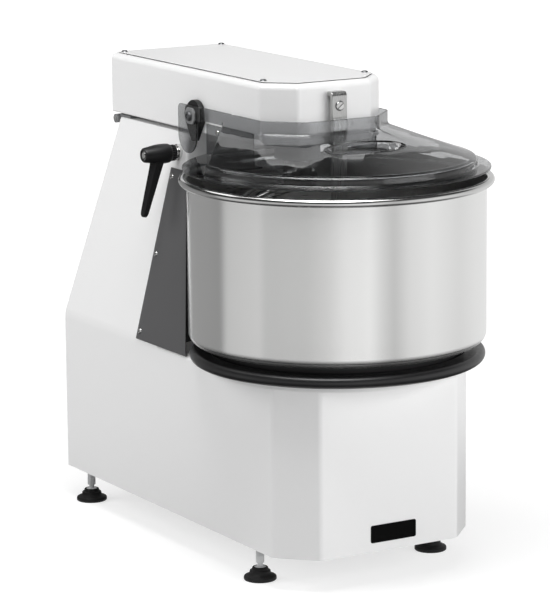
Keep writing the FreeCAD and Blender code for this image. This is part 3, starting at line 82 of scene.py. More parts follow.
# %% Camera
AZIMUTH, ELEVATION, ROLL = -30.52, 11.34, math.radians(-0.52)
SIDEWAYS, HEIGHT, DISTANCE = -94.36, 408.84, 4812.41
SENSOR, FOCAL_PIXELS, PICTURE_PIXELS = 36, 3168.76, 602
back = aim(AZIMUTH, ELEVATION)
side = (-back).cross(Vector((0, 0, 1))).normalized()
rise = side.cross(-back)
across = side * math.cos(ROLL) + rise * math.sin(ROLL)
upward = rise * math.cos(ROLL) - side * math.sin(ROLL)
turn = Matrix((across, upward, back)).transposed().to_4x4()
place = side * SIDEWAYS + Vector((0, 0, HEIGHT)) + back * DISTANCE
camera = placed("camera", bpy.data.cameras.new("camera"))
camera.matrix_world = Matrix.Translation(spot(*place)) @ turn
camera.data.sensor_width = SENSOR
camera.data.lens = FOCAL_PIXELS * SENSOR / PICTURE_PIXELS
camera.data.clip_end = 200
scene.camera = camera
print("lens %.1f mm, %.2f m away" % (camera.data.lens, place.length / 1000))

# %% [markdown]
# ## Helpers for node trees
# Colours are written as the sRGB hex values that a colour picker shows. Blender works in
# linear light, so one function turns them. One more function adds any node, sets its
# settings and links or fills its inputs, which keeps the trees below readable.


# %% Colours and nodes
def colour(code):
    """sRGB hex to linear RGBA."""
    parts = [int(code[i:i + 2], 16) / 255 for i in (1, 3, 5)]
    return [c / 12.92 if c <= 0.04045 else ((c + 0.055) / 1.055) ** 2.4 for c in parts] + [1]


def add(tree, kind, inputs=None, **settings):
    """Add a node. A socket, or a node for its first output, is linked; the rest are values."""
    made = tree.nodes.new(kind)
    for key, value in settings.items():
        setattr(made, key, value)
    for key, value in (inputs or {}).items():
        if isinstance(value, bpy.types.Node):
            value = value.outputs[0]
        if isinstance(value, bpy.types.NodeSocket):
            tree.links.new(value, made.inputs[key])
        else:
            made.inputs[key].default_value = value
    return made


def new_material(name):
    made = bpy.data.materials.new(name)
    made.use_nodes = True
    made.node_tree.nodes.clear()
    return made, made.node_tree


def about(tree, x=0.0, y=0.0, upright=1):
    """Object coordinates in metres from a line at x, y off the bowl's axis; upright 0 drops z."""
    where = add(tree, "ShaderNodeTexCoord").outputs["Object"]
    return add(tree, "ShaderNodeMapping", {"Vector": where, "Location": (-x, -AXIS_Y - y, 0),
                                           "Scale": (1, 1, upright)})


print("mid grey #808080 is %.3f in linear light" % colour("#808080")[0])

# %% [markdown]
# ## Studio
# White machines are shot in a white room. The floor runs out to white, and the Light Path
# node shows that white only to the camera, to mirrors and through one clear wall, so it adds
# no light to the paint. The floor is plain paint that glows more the farther out it is,
# which lets the shadows stay near the machine.

# %% World
scene.view_settings.view_transform = "Standard"
AMBIENT, BEHIND_PLASTIC = 0.34, 0.06
WHITE = (1, 1, 1, 1)


def shown_white(tree):
    """1 where the white room shows: straight, mirrored, or through the first clear wall."""
    path = add(tree, "ShaderNodeLightPath").outputs
    bounces = add(tree, "ShaderNodeMath", {0: path["Glossy Depth"], 1: path["Diffuse Depth"]},
                  operation="ADD")
    first = add(tree, "ShaderNodeMath", {0: bounces, 1: 0.5}, operation="LESS_THAN")
    clear = add(tree, "ShaderNodeMath", {0: path["Is Transmission Ray"], 1: first},
                operation="MULTIPLY")
    mirror = add(tree, "ShaderNodeMath", {0: path["Is Glossy Ray"], 1: path["Is Transmission Ray"]},
                 operation="SUBTRACT", use_clamp=True)
    seen = add(tree, "ShaderNodeMath", {0: path["Is Camera Ray"], 1: clear}, operation="MAXIMUM")
    seen = add(tree, "ShaderNodeMath", {0: seen, 1: mirror}, operation="MAXIMUM")
    return seen, path["Is Transmission Ray"]


world = bpy.data.worlds.new("white room")
scene.world = world
world.use_nodes = True
tree = world.node_tree
tree.nodes.clear()
white, clear = shown_white(tree)
dimmed = add(tree, "ShaderNodeMapRange", {"Value": clear, "To Min": AMBIENT, "To Max": BEHIND_PLASTIC})
strength = add(tree, "ShaderNodeMapRange", {"Value": white, "To Min": dimmed, "To Max": 1.0})
sky = add(tree, "ShaderNodeBackground", {"Color": WHITE, "Strength": strength})
add(tree, "ShaderNodeOutputWorld", {"Surface": sky})
print("room: ambient light %.2f" % AMBIENT)


# %% Floor
def staged(name, verts, faces, material):
    """A piece of the studio, in metres, that isn't part of the machine."""
    mesh = bpy.data.meshes.new(name)
    mesh.from_pydata([Vector(v) for v in verts], [], faces)
    mesh.materials.append(material)
    made = placed(name, mesh)
    return made


NEAR, FAR, NEAR_GLOW = 0.7, 3.0, 0.64
FLOOR_HALF = 40
floor_paint, tree = new_material("white studio floor")
where = add(tree, "ShaderNodeTexCoord").outputs["Object"]
away = add(tree, "ShaderNodeVectorMath", {0: where}, operation="LENGTH").outputs["Value"]
glow = add(tree, "ShaderNodeMapRange", {"Value": away, "From Min": NEAR, "From Max": FAR,
                                        "To Min": NEAR_GLOW, "To Max": 1.0},
           interpolation_type="SMOOTHSTEP")
paint = add(tree, "ShaderNodeBsdfDiffuse", {"Color": (0.45, 0.45, 0.45, 1)})
plain = add(tree, "ShaderNodeBsdfDiffuse", {"Color": (0.62, 0.62, 0.62, 1)})
light = add(tree, "ShaderNodeEmission", {"Color": WHITE, "Strength": glow})
shown = add(tree, "ShaderNodeAddShader", {0: paint, 1: light})
mixed = add(tree, "ShaderNodeMixShader", {0: shown_white(tree)[0], 1: plain, 2: shown})
add(tree, "ShaderNodeOutputMaterial", {"Surface": mixed})
corners = [(FLOOR_HALF * x, FLOOR_HALF * y, 0) for x, y in ((-1, -1), (1, -1), (1, 1), (-1, 1))]
staged("floor", corners, [(0, 1, 2, 3)], floor_paint)
print("floor: %d m wide" % (2 * FLOOR_HALF))

# %% [markdown]
# ## Light tent
# Steel and clear plastic show what stands round them, so the machine is given something to
# mirror: a round tent of cloth, darker and lighter in upright bands as the panels and gaps
# of a studio are. It is darkest near the floor, at the left front and overhead. Only mirror
# rays see it. A Color Ramp on the angle round the axis does what a dozen cards would.

# %% Cloth of the tent
BANDS = [(-180, 0.32), (-126, 0.32), (-119, 0.62), (-89, 0.73), (-84, 0.63), (-53, 0.61), (-38, 0.73),
         (-26, 0.93), (-9, 1.03), (0, 0.80), (9, 0.64), (21, 0.84), (40, 0.92), (69, 0.78), (96, 0.82),
         (142, 0.80), (158, 0.80), (168, 0.32)]
HORIZON, CEILING = (0.60, 0.72), (1.00, 1.10)
LEFT_FRONT, RIGHT_BACK = (-0.94, -0.34, 0), (0.92, 0.40, 0)
cloth, tree = new_material("light tent cloth")
where = about(tree)
parts = add(tree, "ShaderNodeSeparateXYZ", {0: where}).outputs
ahead = add(tree, "ShaderNodeMath", {0: parts["Y"], 1: -1.0}, operation="MULTIPLY")
angle = add(tree, "ShaderNodeMath", {0: parts["X"], 1: ahead}, operation="ARCTAN2")
share = add(tree, "ShaderNodeMath", {0: angle, 1: 0.5 / math.pi, 2: 0.5}, operation="MULTIPLY_ADD")
ramp = add(tree, "ShaderNodeValToRGB", {0: share})
stops = ramp.color_ramp.elements
stops[0].position, stops[1].position = 0.0, 1.0
stops[0].color = stops[1].color = [BANDS[0][1]] * 3 + [1]
for degrees, shade in BANDS[1:]:
    stops.new(degrees / 360 + 0.5).color = [shade] * 3 + [1]

# The lower zone ends at the ceiling, and is darker above the horizon and near the machine's foot.
band, high = (add(tree, "ShaderNodeMapRange", {"Value": parts["Z"], "From Min": start, "From Max": end})
              for start, end in (HORIZON, CEILING))
sides = []
for heading, start, end, outside, inside in ((LEFT_FRONT, 0.5, 0.9, 0.85, 0.16),
                                             (RIGHT_BACK, 1.3, 1.5, 0.0, 0.50)):
    toward = add(tree, "ShaderNodeVectorMath", {0: where, 1: heading}, operation="DOT_PRODUCT")
    sides.append(add(tree, "ShaderNodeMapRange", {
        "Value": toward.outputs["Value"], "From Min": start, "From Max": end, "To Min": outside,
        "To Max": inside}, interpolation_type="SMOOTHSTEP"))
dark = add(tree, "ShaderNodeMix", {0: band, 2: 1.0, 3: sides[0]}, data_type="FLOAT")
away = add(tree, "ShaderNodeVectorMath", {0: about(tree, upright=0)}, operation="LENGTH")
under = add(tree, "ShaderNodeMapRange", {"Value": away.outputs["Value"], "From Min": 0.55,
                                         "From Max": 1.15, "To Min": 0.10, "To Max": 1.0})
walls = add(tree, "ShaderNodeMath", {0: 1.0, 1: high}, operation="SUBTRACT")
for shade in (dark, under):
    walls = add(tree, "ShaderNodeMath", {0: walls, 1: shade}, operation="MULTIPLY")
lower = add(tree, "ShaderNodeEmission", {"Color": ramp, "Strength": walls})

# The ceiling is nearly dark, a little lighter in front, with one pale part at the right back.
front = add(tree, "ShaderNodeMapRange", {"Value": ahead, "From Min": -0.8, "From Max": 0.8,
                                         "To Min": 0.03, "To Max": 0.07})
front = add(tree, "ShaderNodeMath", {0: front, 1: sides[1]}, operation="ADD")
front = add(tree, "ShaderNodeMath", {0: high, 1: front}, operation="MULTIPLY")
upper = add(tree, "ShaderNodeEmission", {"Color": WHITE, "Strength": front})
both = add(tree, "ShaderNodeAddShader", {0: lower, 1: upper})
add(tree, "ShaderNodeOutputMaterial", {"Surface": both})
print("tent: %d bands" % len(BANDS))

# %% [markdown]
# ## Overhead panel
# One broad lamp panel hangs over the left front and folds down at the left back. It gives the
# polished steel and the plastic their bright shapes, and it fades away from its middle.

# %% Overhead panel
TENT_RINGS = [(0.25, 0.004), (1.55, 0.004), (1.55, 2.4), (0.01, 2.6)]
PANEL_R, PANEL_Z, PANEL_LOW = 1.5, 2.3, 1.6
glare, tree = new_material("overhead panel")
away = add(tree, "ShaderNodeVectorMath", {0: about(tree, -0.63, -0.49, 0)}, operation="LENGTH")
fall = add(tree, "ShaderNodeMapRange", {"Value": away.outputs["Value"], "From Min": 0.4, "From Max": 1.2,
                                        "To Min": 8.0, "To Max": 1.6}, interpolation_type="SMOOTHSTEP")
light = add(tree, "ShaderNodeEmission", {"Color": WHITE, "Strength": fall})
add(tree, "ShaderNodeOutputMaterial", {"Surface": light})


def skin(rings, first=False, last=False, closed=True):
    """Faces between rings, or open rows, of equal length, with or without end faces."""
    n = len(rings[0])
    faces = [(r * n + i, r * n + (i + 1) % n, (r + 1) * n + (i + 1) % n, (r + 1) * n + i)
             for r in range(len(rings) - 1) for i in range(n if closed else n - 1)]
    if first:
        faces.append(tuple(range(n)))
    if last:
        faces.append(tuple((len(rings) - 1) * n + i for i in range(n)))
    return [p for ring in rings for p in ring], faces


def joined(*parts):
    """Put several point and face lists together."""
    verts, faces = [], []
    for more_verts, more_faces in parts:
        start = len(verts)
        verts += more_verts
        faces += [tuple(start + i for i in face) for face in more_faces]
    return verts, faces


def around(azimuth, radius, height):
    """Point in metres round the bowl's axis, in degrees from the front."""
    a = math.radians(azimuth)
    return radius * math.sin(a), AXIS_Y - radius * math.cos(a), height


tent = skin([[around(5 * k, radius, height) for k in range(72)] for radius, height in TENT_RINGS])
fan = [(0.16, AXIS_Y + 0.16, PANEL_Z)]
fan += [around(-130 + 155 * k / 12, PANEL_R, PANEL_Z) for k in range(13)]
fold = skin([[around(-172 + 13 * k, PANEL_R, z) for k in range(5)] for z in (PANEL_LOW, PANEL_Z)],
            closed=False)
for made in (staged("light_tent", *tent, cloth),
             staged("overhead_panel", *joined((fan, [tuple(range(len(fan)))]), fold), glare)):
    made.visible_camera = made.visible_diffuse = False
    made.visible_transmission = made.visible_shadow = False
print("panel: %d faces" % len(made.data.polygons))

# %% [markdown]
# ## Lamps
# Three softboxes light the paint: left back, right front and top. They are hidden from
# mirror rays, because the tent already holds what the steel should show.


# %% Softboxes
def softbox(name, azimuth, elevation, distance, width, height, watts):
    """An area lamp that faces the machine's middle from an angle and a distance in metres."""
    lamp = bpy.data.lights.new(name, "AREA")
    lamp.shape, lamp.size, lamp.size_y, lamp.energy = "RECTANGLE", width, height, watts
    made = placed(name, lamp)
    out = aim(azimuth, elevation)
    made.matrix_world = (Matrix.Translation(Vector((0, 0, 0.45)) + out * distance)
                         @ out.to_track_quat("Z", "Y").to_matrix().to_4x4())
    made.visible_glossy = False
    print(name, watts, "W")


softbox("left_softbox", -122, 24, 3.0, 1.6, 1.6, 38)
softbox("front_softbox", 27, 10, 2.5, 2.0, 1.2, 31)
softbox("top_softbox", -40, 74, 3.0, 1.6, 1.2, 54)

# %% [markdown]
# ## Finishes
# Most finishes here are one base colour broken up by one grain: the orange peel of a powder
# coat, the fine texture of moulded nylon, the scratches of a brushed sheet. The grain comes
# from a Noise texture on Object coordinates, stretched along the brushing, and it tints the
# colour, varies the roughness and lifts the surface a little. Grains finer than a picture
# element would only flicker, so each is drawn as coarse as it needs to show.


# %% One recipe for a grained surface
def grained(name, code, roughness, metallic=0.0, grain=1.0, stretch=(1, 1, 1), tint=0.03,
            spread=0.05, lift=0.02, **plain):
    """A finish with a grain of the given size in mm; stretch makes it long on an axis."""
    made, tree = new_material(name)
    where = add(tree, "ShaderNodeTexCoord").outputs["Object"]
    scale = [1000 / (grain * s) for s in stretch]
    where = add(tree, "ShaderNodeMapping", {"Vector": where, "Scale": scale})
    noise = add(tree, "ShaderNodeTexNoise", {"Vector": where, "Scale": 1.0, "Detail": 3.0})
    finish(tree, noise, code, roughness, metallic, tint, spread, lift, plain)
    return made


def finish(tree, grain, code, roughness, metallic, tint, spread, lift, plain):
    """Tie a grain to the colour, roughness and height of one Principled shader."""
    base = colour(code)
    dark = [c * (1 - tint) for c in base[:3]] + [1]
    light = [min(1, c * (1 + tint)) for c in base[:3]] + [1]
    mix = add(tree, "ShaderNodeMix", {0: grain, 6: dark, 7: light}, data_type="RGBA")
    rough = add(tree, "ShaderNodeMapRange", {"Value": grain, "From Min": 0.3, "From Max": 0.7,
                                             "To Min": roughness - spread, "To Max": roughness + spread})
    bump = add(tree, "ShaderNodeBump", {"Height": grain, "Strength": 1.0, "Distance": lift / 1000})
    shader = add(tree, "ShaderNodeBsdfPrincipled", {
        "Base Color": mix.outputs[2], "Roughness": rough, "Metallic": metallic, "Normal": bump,
        **plain})
    add(tree, "ShaderNodeOutputMaterial", {"Surface": shader})


# %% Paints and metals
# Polyester powder coat, sprayed and baked: white, glossy, with a faint orange peel about
# 2 mm across. The eye sees soft, slightly wavy reflections.
white_powder_coat = grained("white powder coat", "#F1F1F1", 0.36, grain=2.4, tint=0.012, spread=0.04,
                            lift=0.012, **{"Coat Weight": 0.25, "Coat Roughness": 0.22})
# Fine-texture powder coat in mid grey: satin, with a sandy grain.
grey_powder_coat = grained("grey powder coat", "#515152", 0.42, grain=1.6, tint=0.05, spread=0.05,
                           lift=0.02, **{"Coat Weight": 0.1, "Coat Roughness": 0.3})
# Mild steel plate under plain primer: dull, slightly blotchy.
primed_steel = grained("primed steel plate", "#8E9195", 0.6, grain=6, tint=0.06, lift=0.02)
# Stainless bar, polished on a belt and buffed: bright, with faint draw marks.
polished_stainless = grained("polished stainless", "#D6D6D5", 0.13, 1.0, grain=1.2, tint=0.03,
                             spread=0.03, lift=0.003)
# Flat stainless bar brushed along its length: the scratches run up and down.
brushed_bar = grained("brushed stainless bar", "#C4C4C3", 0.30, 1.0, grain=0.9, stretch=(1, 1, 60),
                      tint=0.10, spread=0.07, lift=0.006, **{"Anisotropic": 0.5})
# Steel of the washers and the hinge plate, blasted and passivated: matt mid grey.
matt_washer = grained("blasted stainless washer", "#858687", 0.55, 0.15, grain=1.2, tint=0.05, lift=0.01)
# Black-oxide steel of the hinge bolts: dark grey, with a dull sheen on its edges.
black_oxide = grained("black oxide steel", "#5E5F61", 0.42, 0.5, grain=2, tint=0.1, lift=0.004)
# Burnished steel of the head's screws: their round heads read as dark dots on the white.
screw_steel = grained("burnished screw steel", "#77787A", 0.30, 1.0, grain=2, tint=0.08, lift=0.003)
# Turned and ground carbon steel of the shafts, sprockets and bearings.
machined_steel = grained("machined steel", "#A9A9AA", 0.28, 1.0, grain=0.8, stretch=(8, 8, 1),
                         tint=0.05, spread=0.06, lift=0.004)
# Thread with fresh bright zinc on it: its many small flanks scatter light, so it looks pale.
bright_zinc = grained("bright zinc on a thread", "#D5D6D7", 0.45, 0.35, grain=2, tint=0.05, lift=0.004)
print("paints and metals: %d materials so far" % len(bpy.data.materials))

# %% Enamel, plastics and rubber
# Steel in black stove enamel, as on the turntable.
black_enamel = grained("black enamelled steel", "#161617", 0.4, grain=1.5, tint=0.1, lift=0.01)
# Glass-filled nylon, moulded in a spark-eroded tool: black satin with a fine grain.
moulded_nylon = grained("black moulded nylon", "#161617", 0.40, grain=0.9, tint=0.10, spread=0.06,
                        lift=0.015, **{"Specular IOR Level": 0.35})
# The ring is a soft black vinyl profile: smoother and a little shinier than the nylon.
black_vinyl = grained("black vinyl ring", "#1A1A1B", 0.33, grain=3, stretch=(3, 3, 1), tint=0.08,
                      spread=0.04, lift=0.01)
# Moulded nitrile rubber of the feet: matt, a little dusty.
foot_rubber = grained("black nitrile rubber", "#131313", 0.60, grain=2, tint=0.12, spread=0.08, lift=0.02,
                      **{"Specular IOR Level": 0.3})
# Acrylic badge plate, cast black and rubbed to a satin face: it reads as a deep black.
badge_acrylic = grained("satin black acrylic", "#060606", 0.35, grain=3, tint=0.1, spread=0.05,
                        lift=0.006, **{"Specular IOR Level": 0.12})
# Die-cast aluminium under grey machine paint, as motors and gearboxes have.
cast_grey = grained("painted cast aluminium", "#7C8287", 0.5, grain=1.8, tint=0.06, lift=0.05)
# Light grey ABS of the electric box.
grey_abs = grained("grey moulded ABS", "#BFC1C2", 0.45, grain=1.2, tint=0.02, lift=0.015)
# Dark polycarbonate of the switch box.
panel_black = grained("dark moulded polycarbonate", "#2B2C2E", 0.4, grain=1.1, tint=0.05, lift=0.015)
green_button = grained("green moulded button", "#1E8C3A", 0.24, grain=4, tint=0.04, lift=0.004)
red_button = grained("red moulded button", "#C6201A", 0.24, grain=4, tint=0.04, lift=0.004)
print("with the plastics: %d materials so far" % len(bpy.data.materials))

# %% [markdown]
# ## The bowl's brushed wall
# A spun steel bowl is brushed while it turns, so its scratches run round it. Flat Object
# coordinates can't follow that. Here the angle round the axis and the height become the two
# directions of the pattern: long round the wall, short upwards. The scratches are real at
# about 0.1 mm and drawn near 2 mm high, or they wouldn't show. Anisotropy draws each
# highlight out into an upright band, at right angles to the scratches.


# %% Brushed round an axis
def brushed_round(name, code, roughness, height=2.0, length=90.0, tint=0.05, spread=0.04, lift=0.004,
                  radius=226.5, **plain):
    """Stainless with scratches round the bowl's axis; their height and length are in mm."""
    made, tree = new_material(name)
    parts = add(tree, "ShaderNodeSeparateXYZ", {0: about(tree)}).outputs
    angle = add(tree, "ShaderNodeMath", {0: parts["Y"], 1: parts["X"]}, operation="ARCTAN2")
    round_ = add(tree, "ShaderNodeMath", {0: angle, 1: radius / length}, operation="MULTIPLY")
    up = add(tree, "ShaderNodeMath", {0: parts["Z"], 1: 1000 / height}, operation="MULTIPLY")
    where = add(tree, "ShaderNodeCombineXYZ", {0: round_, 1: up})
    streaks = add(tree, "ShaderNodeTexNoise", {"Vector": where, "Scale": 1.0, "Detail": 4.0,
                                               "Roughness": 0.6})
    finish(tree, streaks, code, roughness, 1.0, tint, spread, lift, plain)
    return made


bowl_brushed = brushed_round("round-brushed stainless", "#F4F4F3", 0.22, tint=0.045, spread=0.02,
                             lift=0.0, **{"Anisotropic": 1.0, "Anisotropic Rotation": 0.25})
bowl_inside = brushed_round("bowl inside, fine brushed stainless", "#BDBDBC", 0.30, height=4.0,
                            **{"Anisotropic": 0.4, "Anisotropic Rotation": 0.25})
print("brushed:", bowl_brushed.name, "and", bowl_inside.name)

# %% [markdown]
# ## Clear smoked plastic
# The guard is vacuum-formed from 3 mm smoked polycarbonate. Glass shading with a grey tint
# gives its mirror-like face and the darkening of what is behind. Lamps would be stopped by
# it, as the renderer treats glass as solid for shadows, so for shadow rays a Transparent
# shader takes over, in the root of the tint, because light passes two faces of each sheet.


# %% Smoked polycarbonate
def smoked(name, code, root, wave=60.0, lift=0.6):
    """Clear plastic with a tint and its root, and slow waves of a length and height in mm."""
    made, tree = new_material(name)
    where = add(tree, "ShaderNodeTexCoord").outputs["Object"]
    waves = add(tree, "ShaderNodeTexNoise", {"Vector": where, "Scale": 1000 / wave, "Detail": 1.0})
    bump = add(tree, "ShaderNodeBump", {"Height": waves, "Strength": 1.0, "Distance": lift / 1000})
    shader = add(tree, "ShaderNodeBsdfPrincipled", {
        "Base Color": colour(code), "Roughness": 0.0, "IOR": 1.5, "Transmission Weight": 1.0,
        "Normal": bump})
    through = add(tree, "ShaderNodeBsdfTransparent", {"Color": colour(root)})
    shadow = add(tree, "ShaderNodeLightPath").outputs["Is Shadow Ray"]
    both = add(tree, "ShaderNodeMixShader", {0: shadow, 1: shader, 2: through})
    add(tree, "ShaderNodeOutputMaterial", {"Surface": both})
    return made


smoked_plastic = smoked("smoked polycarbonate", "#B3B4B5", "#D5D5D6")
print("materials so far: %d" % len(bpy.data.materials))

# %% [markdown]
# ## Building surfaces
# Sheet metal is drawn as rings of points skinned into a surface: an outline at the foot, the
# same outline higher up, then one drawn in for each step of a bend. This gives clean bends
# of a known radius, where a Bevel on a box would pinch at the corners. Solidify then gives the
# sheet its thickness and Weighted Normal keeps large flat faces flat next to small bends.


# %% Clean meshes
def cleaned(mesh, merge=1e-6, also=(), flatten=0.0):
    """Join a mesh's points that meet, with more meshes if given, and set its faces right."""
    shape = bmesh.new()
    for part in (mesh, *also):
        shape.from_mesh(part)
    bmesh.ops.remove_doubles(shape, verts=shape.verts, dist=merge)
    if flatten:
        bmesh.ops.dissolve_limit(shape, angle_limit=math.radians(flatten), verts=shape.verts,
                                 edges=shape.edges)
    else:
        bmesh.ops.recalc_face_normals(shape, faces=shape.faces)
    shape.to_mesh(mesh)
    shape.free()
    return mesh


def surface(name, verts, faces, place=spot, merge=1e-6):
    """A clean mesh from points in mm; place turns each to metres."""
    mesh = bpy.data.meshes.new(name)
    mesh.from_pydata([place(*v) for v in verts], [], faces)
    return cleaned(mesh, merge)


# %% Dressing a piece
def dress(name, mesh, body, slot, thickness=0.0, edge=0.0, angle=35.0, replaces=()):
    """Smooth a mesh, give it its sheet and small edges, tie it to its body and hide the nodes it replaces.
    """
    mesh.shade_smooth()
    mesh.set_sharp_from_angle(angle=math.radians(angle))
    made = placed(name, mesh)
    if thickness:
        made.modifiers.new("sheet", "SOLIDIFY").thickness = thickness / 1000
        made.modifiers["sheet"].offset = -1
    if edge:
        bend = made.modifiers.new("edges", "BEVEL")
        bend.width, bend.segments, bend.angle_limit = edge / 1000, 2, math.radians(50)
        bend.limit_method = "ANGLE"
    made.modifiers.new("flats", "WEIGHTED_NORMAL").keep_sharp = True
    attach(made, body)
    if replaces:
        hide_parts(*replaces)
    print("%s: %d faces" % (name, len(mesh.polygons)))
    return made


def finished(name, verts, faces, body, slot, materials, **settings):
    """Make a piece from points in mm about the bowl's axis and dress it."""
    mesh = surface(name, verts, faces)
    for material in materials:
        mesh.materials.append(material)
    return dress(name, mesh, body, slot, **settings)


# %% [markdown]
# ## Outlines and turned pieces
# Two kinds of shape come back again and again: outlines with rounded corners, for sheet and
# plate, and profiles turned about an axis, for all that a lathe or a spinning tool makes. Both
# give plain points, so the rings of a sheet and the bends of a rim can be joined by hand.


# %% Rounded outlines
def rounded(corners, radius, steps=5):
    """Round the corners of a closed outline of (x, y) points."""
    result = []
    count = len(corners)
    for i, corner in enumerate(corners):
        here = Vector(corner)
        before = (Vector(corners[i - 1]) - here).normalized()
        after = (Vector(corners[(i + 1) % count]) - here).normalized()
        half = before.angle(after) / 2
        reach = radius / math.tan(half)
        centre = here + (before + after).normalized() * radius / math.sin(half)
        start, end = here + before * reach - centre, here + after * reach - centre
        sweep = start.angle_signed(end)
        for k in range(steps + 1):
            arm = start.copy()
            arm.rotate(Matrix.Rotation(-sweep * k / steps, 2))
            result.append(tuple(centre + arm))
    return result


print("a square with round corners: %d points" % len(rounded([(0, 0), (0, 9), (9, 9), (9, 0)], 2)))

# %% Turned pieces
AXES = {"Z": lambda a, b, c: (a, b, c), "X": lambda a, b, c: (c, a, b), "-X": lambda a, b, c: (-c, a, -b),
        "-Y": lambda a, b, c: (a, -c, b)}


def turned(profile, x=0.0, y=0.0, z=0.0, axis="Z", steps=96):
    """Turn a profile of (radius, height) about an axis; the ends close on radius 0."""
    verts, faces = [], []
    n = len(profile)
    for k in range(steps):
        a = 2 * math.pi * k / steps
        for radius, height in profile:
            p = AXES[axis](radius * math.cos(a), radius * math.sin(a), height)
            verts.append((p[0] + x, p[1] + y, p[2] + z))
        here, after = k * n, (k + 1) % steps * n
        faces += [(here + i, after + i, after + i + 1, here + i + 1) for i in range(n - 1)]
    return verts, faces


def arc(cx, cy, radius, start, end, steps):
    """Points of an arc in degrees."""
    return [(cx + radius * math.cos(math.radians(start + (end - start) * k / steps)),
             cy + radius * math.sin(math.radians(start + (end - start) * k / steps)))
            for k in range(steps + 1)]


CORNER_SHARE = 0.586      # 2 minus the root of 2


def boxed(half, front, back, chamfer, gap=0.0):
    """Outline of a box with both front corners cut off, drawn in by a gap."""
    half, front, back, chamfer = half - gap, front + gap, back - gap, chamfer - CORNER_SHARE * gap
    return [(-half, back), (-half, front + chamfer), (-half + chamfer, front), (half - chamfer, front),
            (half, front + chamfer), (half, back)]


def level(outline, z):
    return [(x, y, z) for x, y in outline]


def paired(part):
    """A piece and the same piece on the machine's other side."""
    other = [(-x, y, z) for x, y, z in part[0]], [tuple(reversed(face)) for face in part[1]]
    return joined(part, other)


print("a turned disc: %d faces" % len(turned([(0, 0), (5, 0), (5, 1), (0, 1)])[1]))


# %% [markdown]
# ## Cabinet
# Base and column are one welded sheet cabinet. Its long bends are soft: the side sheet turns
# inwards where the column starts to lean, and the welded front corners have a small radius.
# The cabinet is drawn as a few flat faces with a bend width on each edge, and one Bevel
# modifier makes all the bends together, because bends that meet at a corner have to agree.

# %% Cabinet
COLUMN_HALF, COLUMN_FRONT, COLUMN_BACK = 107, 258, 493
BASE = (173.5, -147.5, 578.0, 53.0)
BASE_Z, DECK_Z, TOP_Z = 52.5, 312.5, 641.0
WIDEST_BEND = 9
corners = level(boxed(*BASE), BASE_Z) + level(boxed(*BASE), DECK_Z)
corners += [(-BASE[0], COLUMN_FRONT, DECK_Z), (BASE[0], COLUMN_FRONT, DECK_Z)]
corners += [(x, y, TOP_Z) for x, y in ((-COLUMN_HALF, COLUMN_BACK), (-COLUMN_HALF, COLUMN_FRONT),
                                       (COLUMN_HALF, COLUMN_FRONT), (COLUMN_HALF, COLUMN_BACK))]
sheet = surface("cabinet_sheet", corners, [
    (0, 1, 7, 12, 6), (1, 2, 8, 7), (2, 3, 9, 8), (3, 4, 10, 9), (4, 5, 11, 13, 10), (5, 0, 6, 11),
    (7, 8, 9, 10, 13, 12), (12, 13, 16, 15), (6, 12, 15, 14), (13, 11, 17, 16), (11, 6, 14, 17)])
sheet.materials.append(white_powder_coat)
BENDS = {5: [(1, 7), (2, 8), (3, 9), (4, 10), (0, 6), (5, 11), (12, 15), (13, 16), (6, 14), (11, 17)],
         4: [(7, 8), (8, 9), (9, 10), (7, 12), (10, 13)], WIDEST_BEND: [(6, 12), (11, 13), (6, 11)],
         1.5: [(12, 13)]}
widths = {pair: width for width, pairs in BENDS.items() for pair in pairs}
weights = sheet.attributes.new("bevel_weight_edge", "FLOAT", "EDGE")
for edge in sheet.edges:
    weights.data[edge.index].value = widths.get(tuple(sorted(edge.vertices)), 0) / WIDEST_BEND
cabinet = placed("cabinet_sheet", sheet)
bends = cabinet.modifiers.new("bends", "BEVEL")
bends.width, bends.segments, bends.limit_method = WIDEST_BEND / 1000, 5, "WEIGHT"
cabinet.modifiers.new("sheet", "SOLIDIFY").thickness = 0.002
cabinet.modifiers.new("flats", "WEIGHTED_NORMAL").keep_sharp = True
sheet.shade_smooth()
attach(cabinet, "machine")
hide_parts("cabinet")
print("cabinet: %d faces before its bends" % len(sheet.polygons))
boss = turned([(6.5, 0), (12.5, 0), (13, 0.5), (13, 13), (12, 14.6), (6.5, 14.6)],
              -117.7, 286, 610, "X", 48)
finished("clamp_boss", *boss, "machine", "polished_steel", [polished_stainless])

# %% [markdown]
# ## Column cover
# A grey sheet wraps the column's front, and its two wings lap over the sides and reach
# forward beside the bowl. It is drawn as one folded sheet, point by point, on the leaning
# sides, so that its edges stay parallel to the cabinet's.

# %% Column cover
COVER_TOP, COVER_LOW, ROWS = 585.0, 312.8, 14
LEAN = (BASE[0] - COLUMN_HALF) / (TOP_Z - DECK_Z)
FOLD_LOW, FOLD_TOP, WING_LOW, WING_TOP = 323, 298.5, 162, 250


def side_x(z, off=0.0):
    """Place of the left leaning side at a height, or a little off its sheet."""
    return -(BASE[0] - (z - DECK_Z) * LEAN) - off


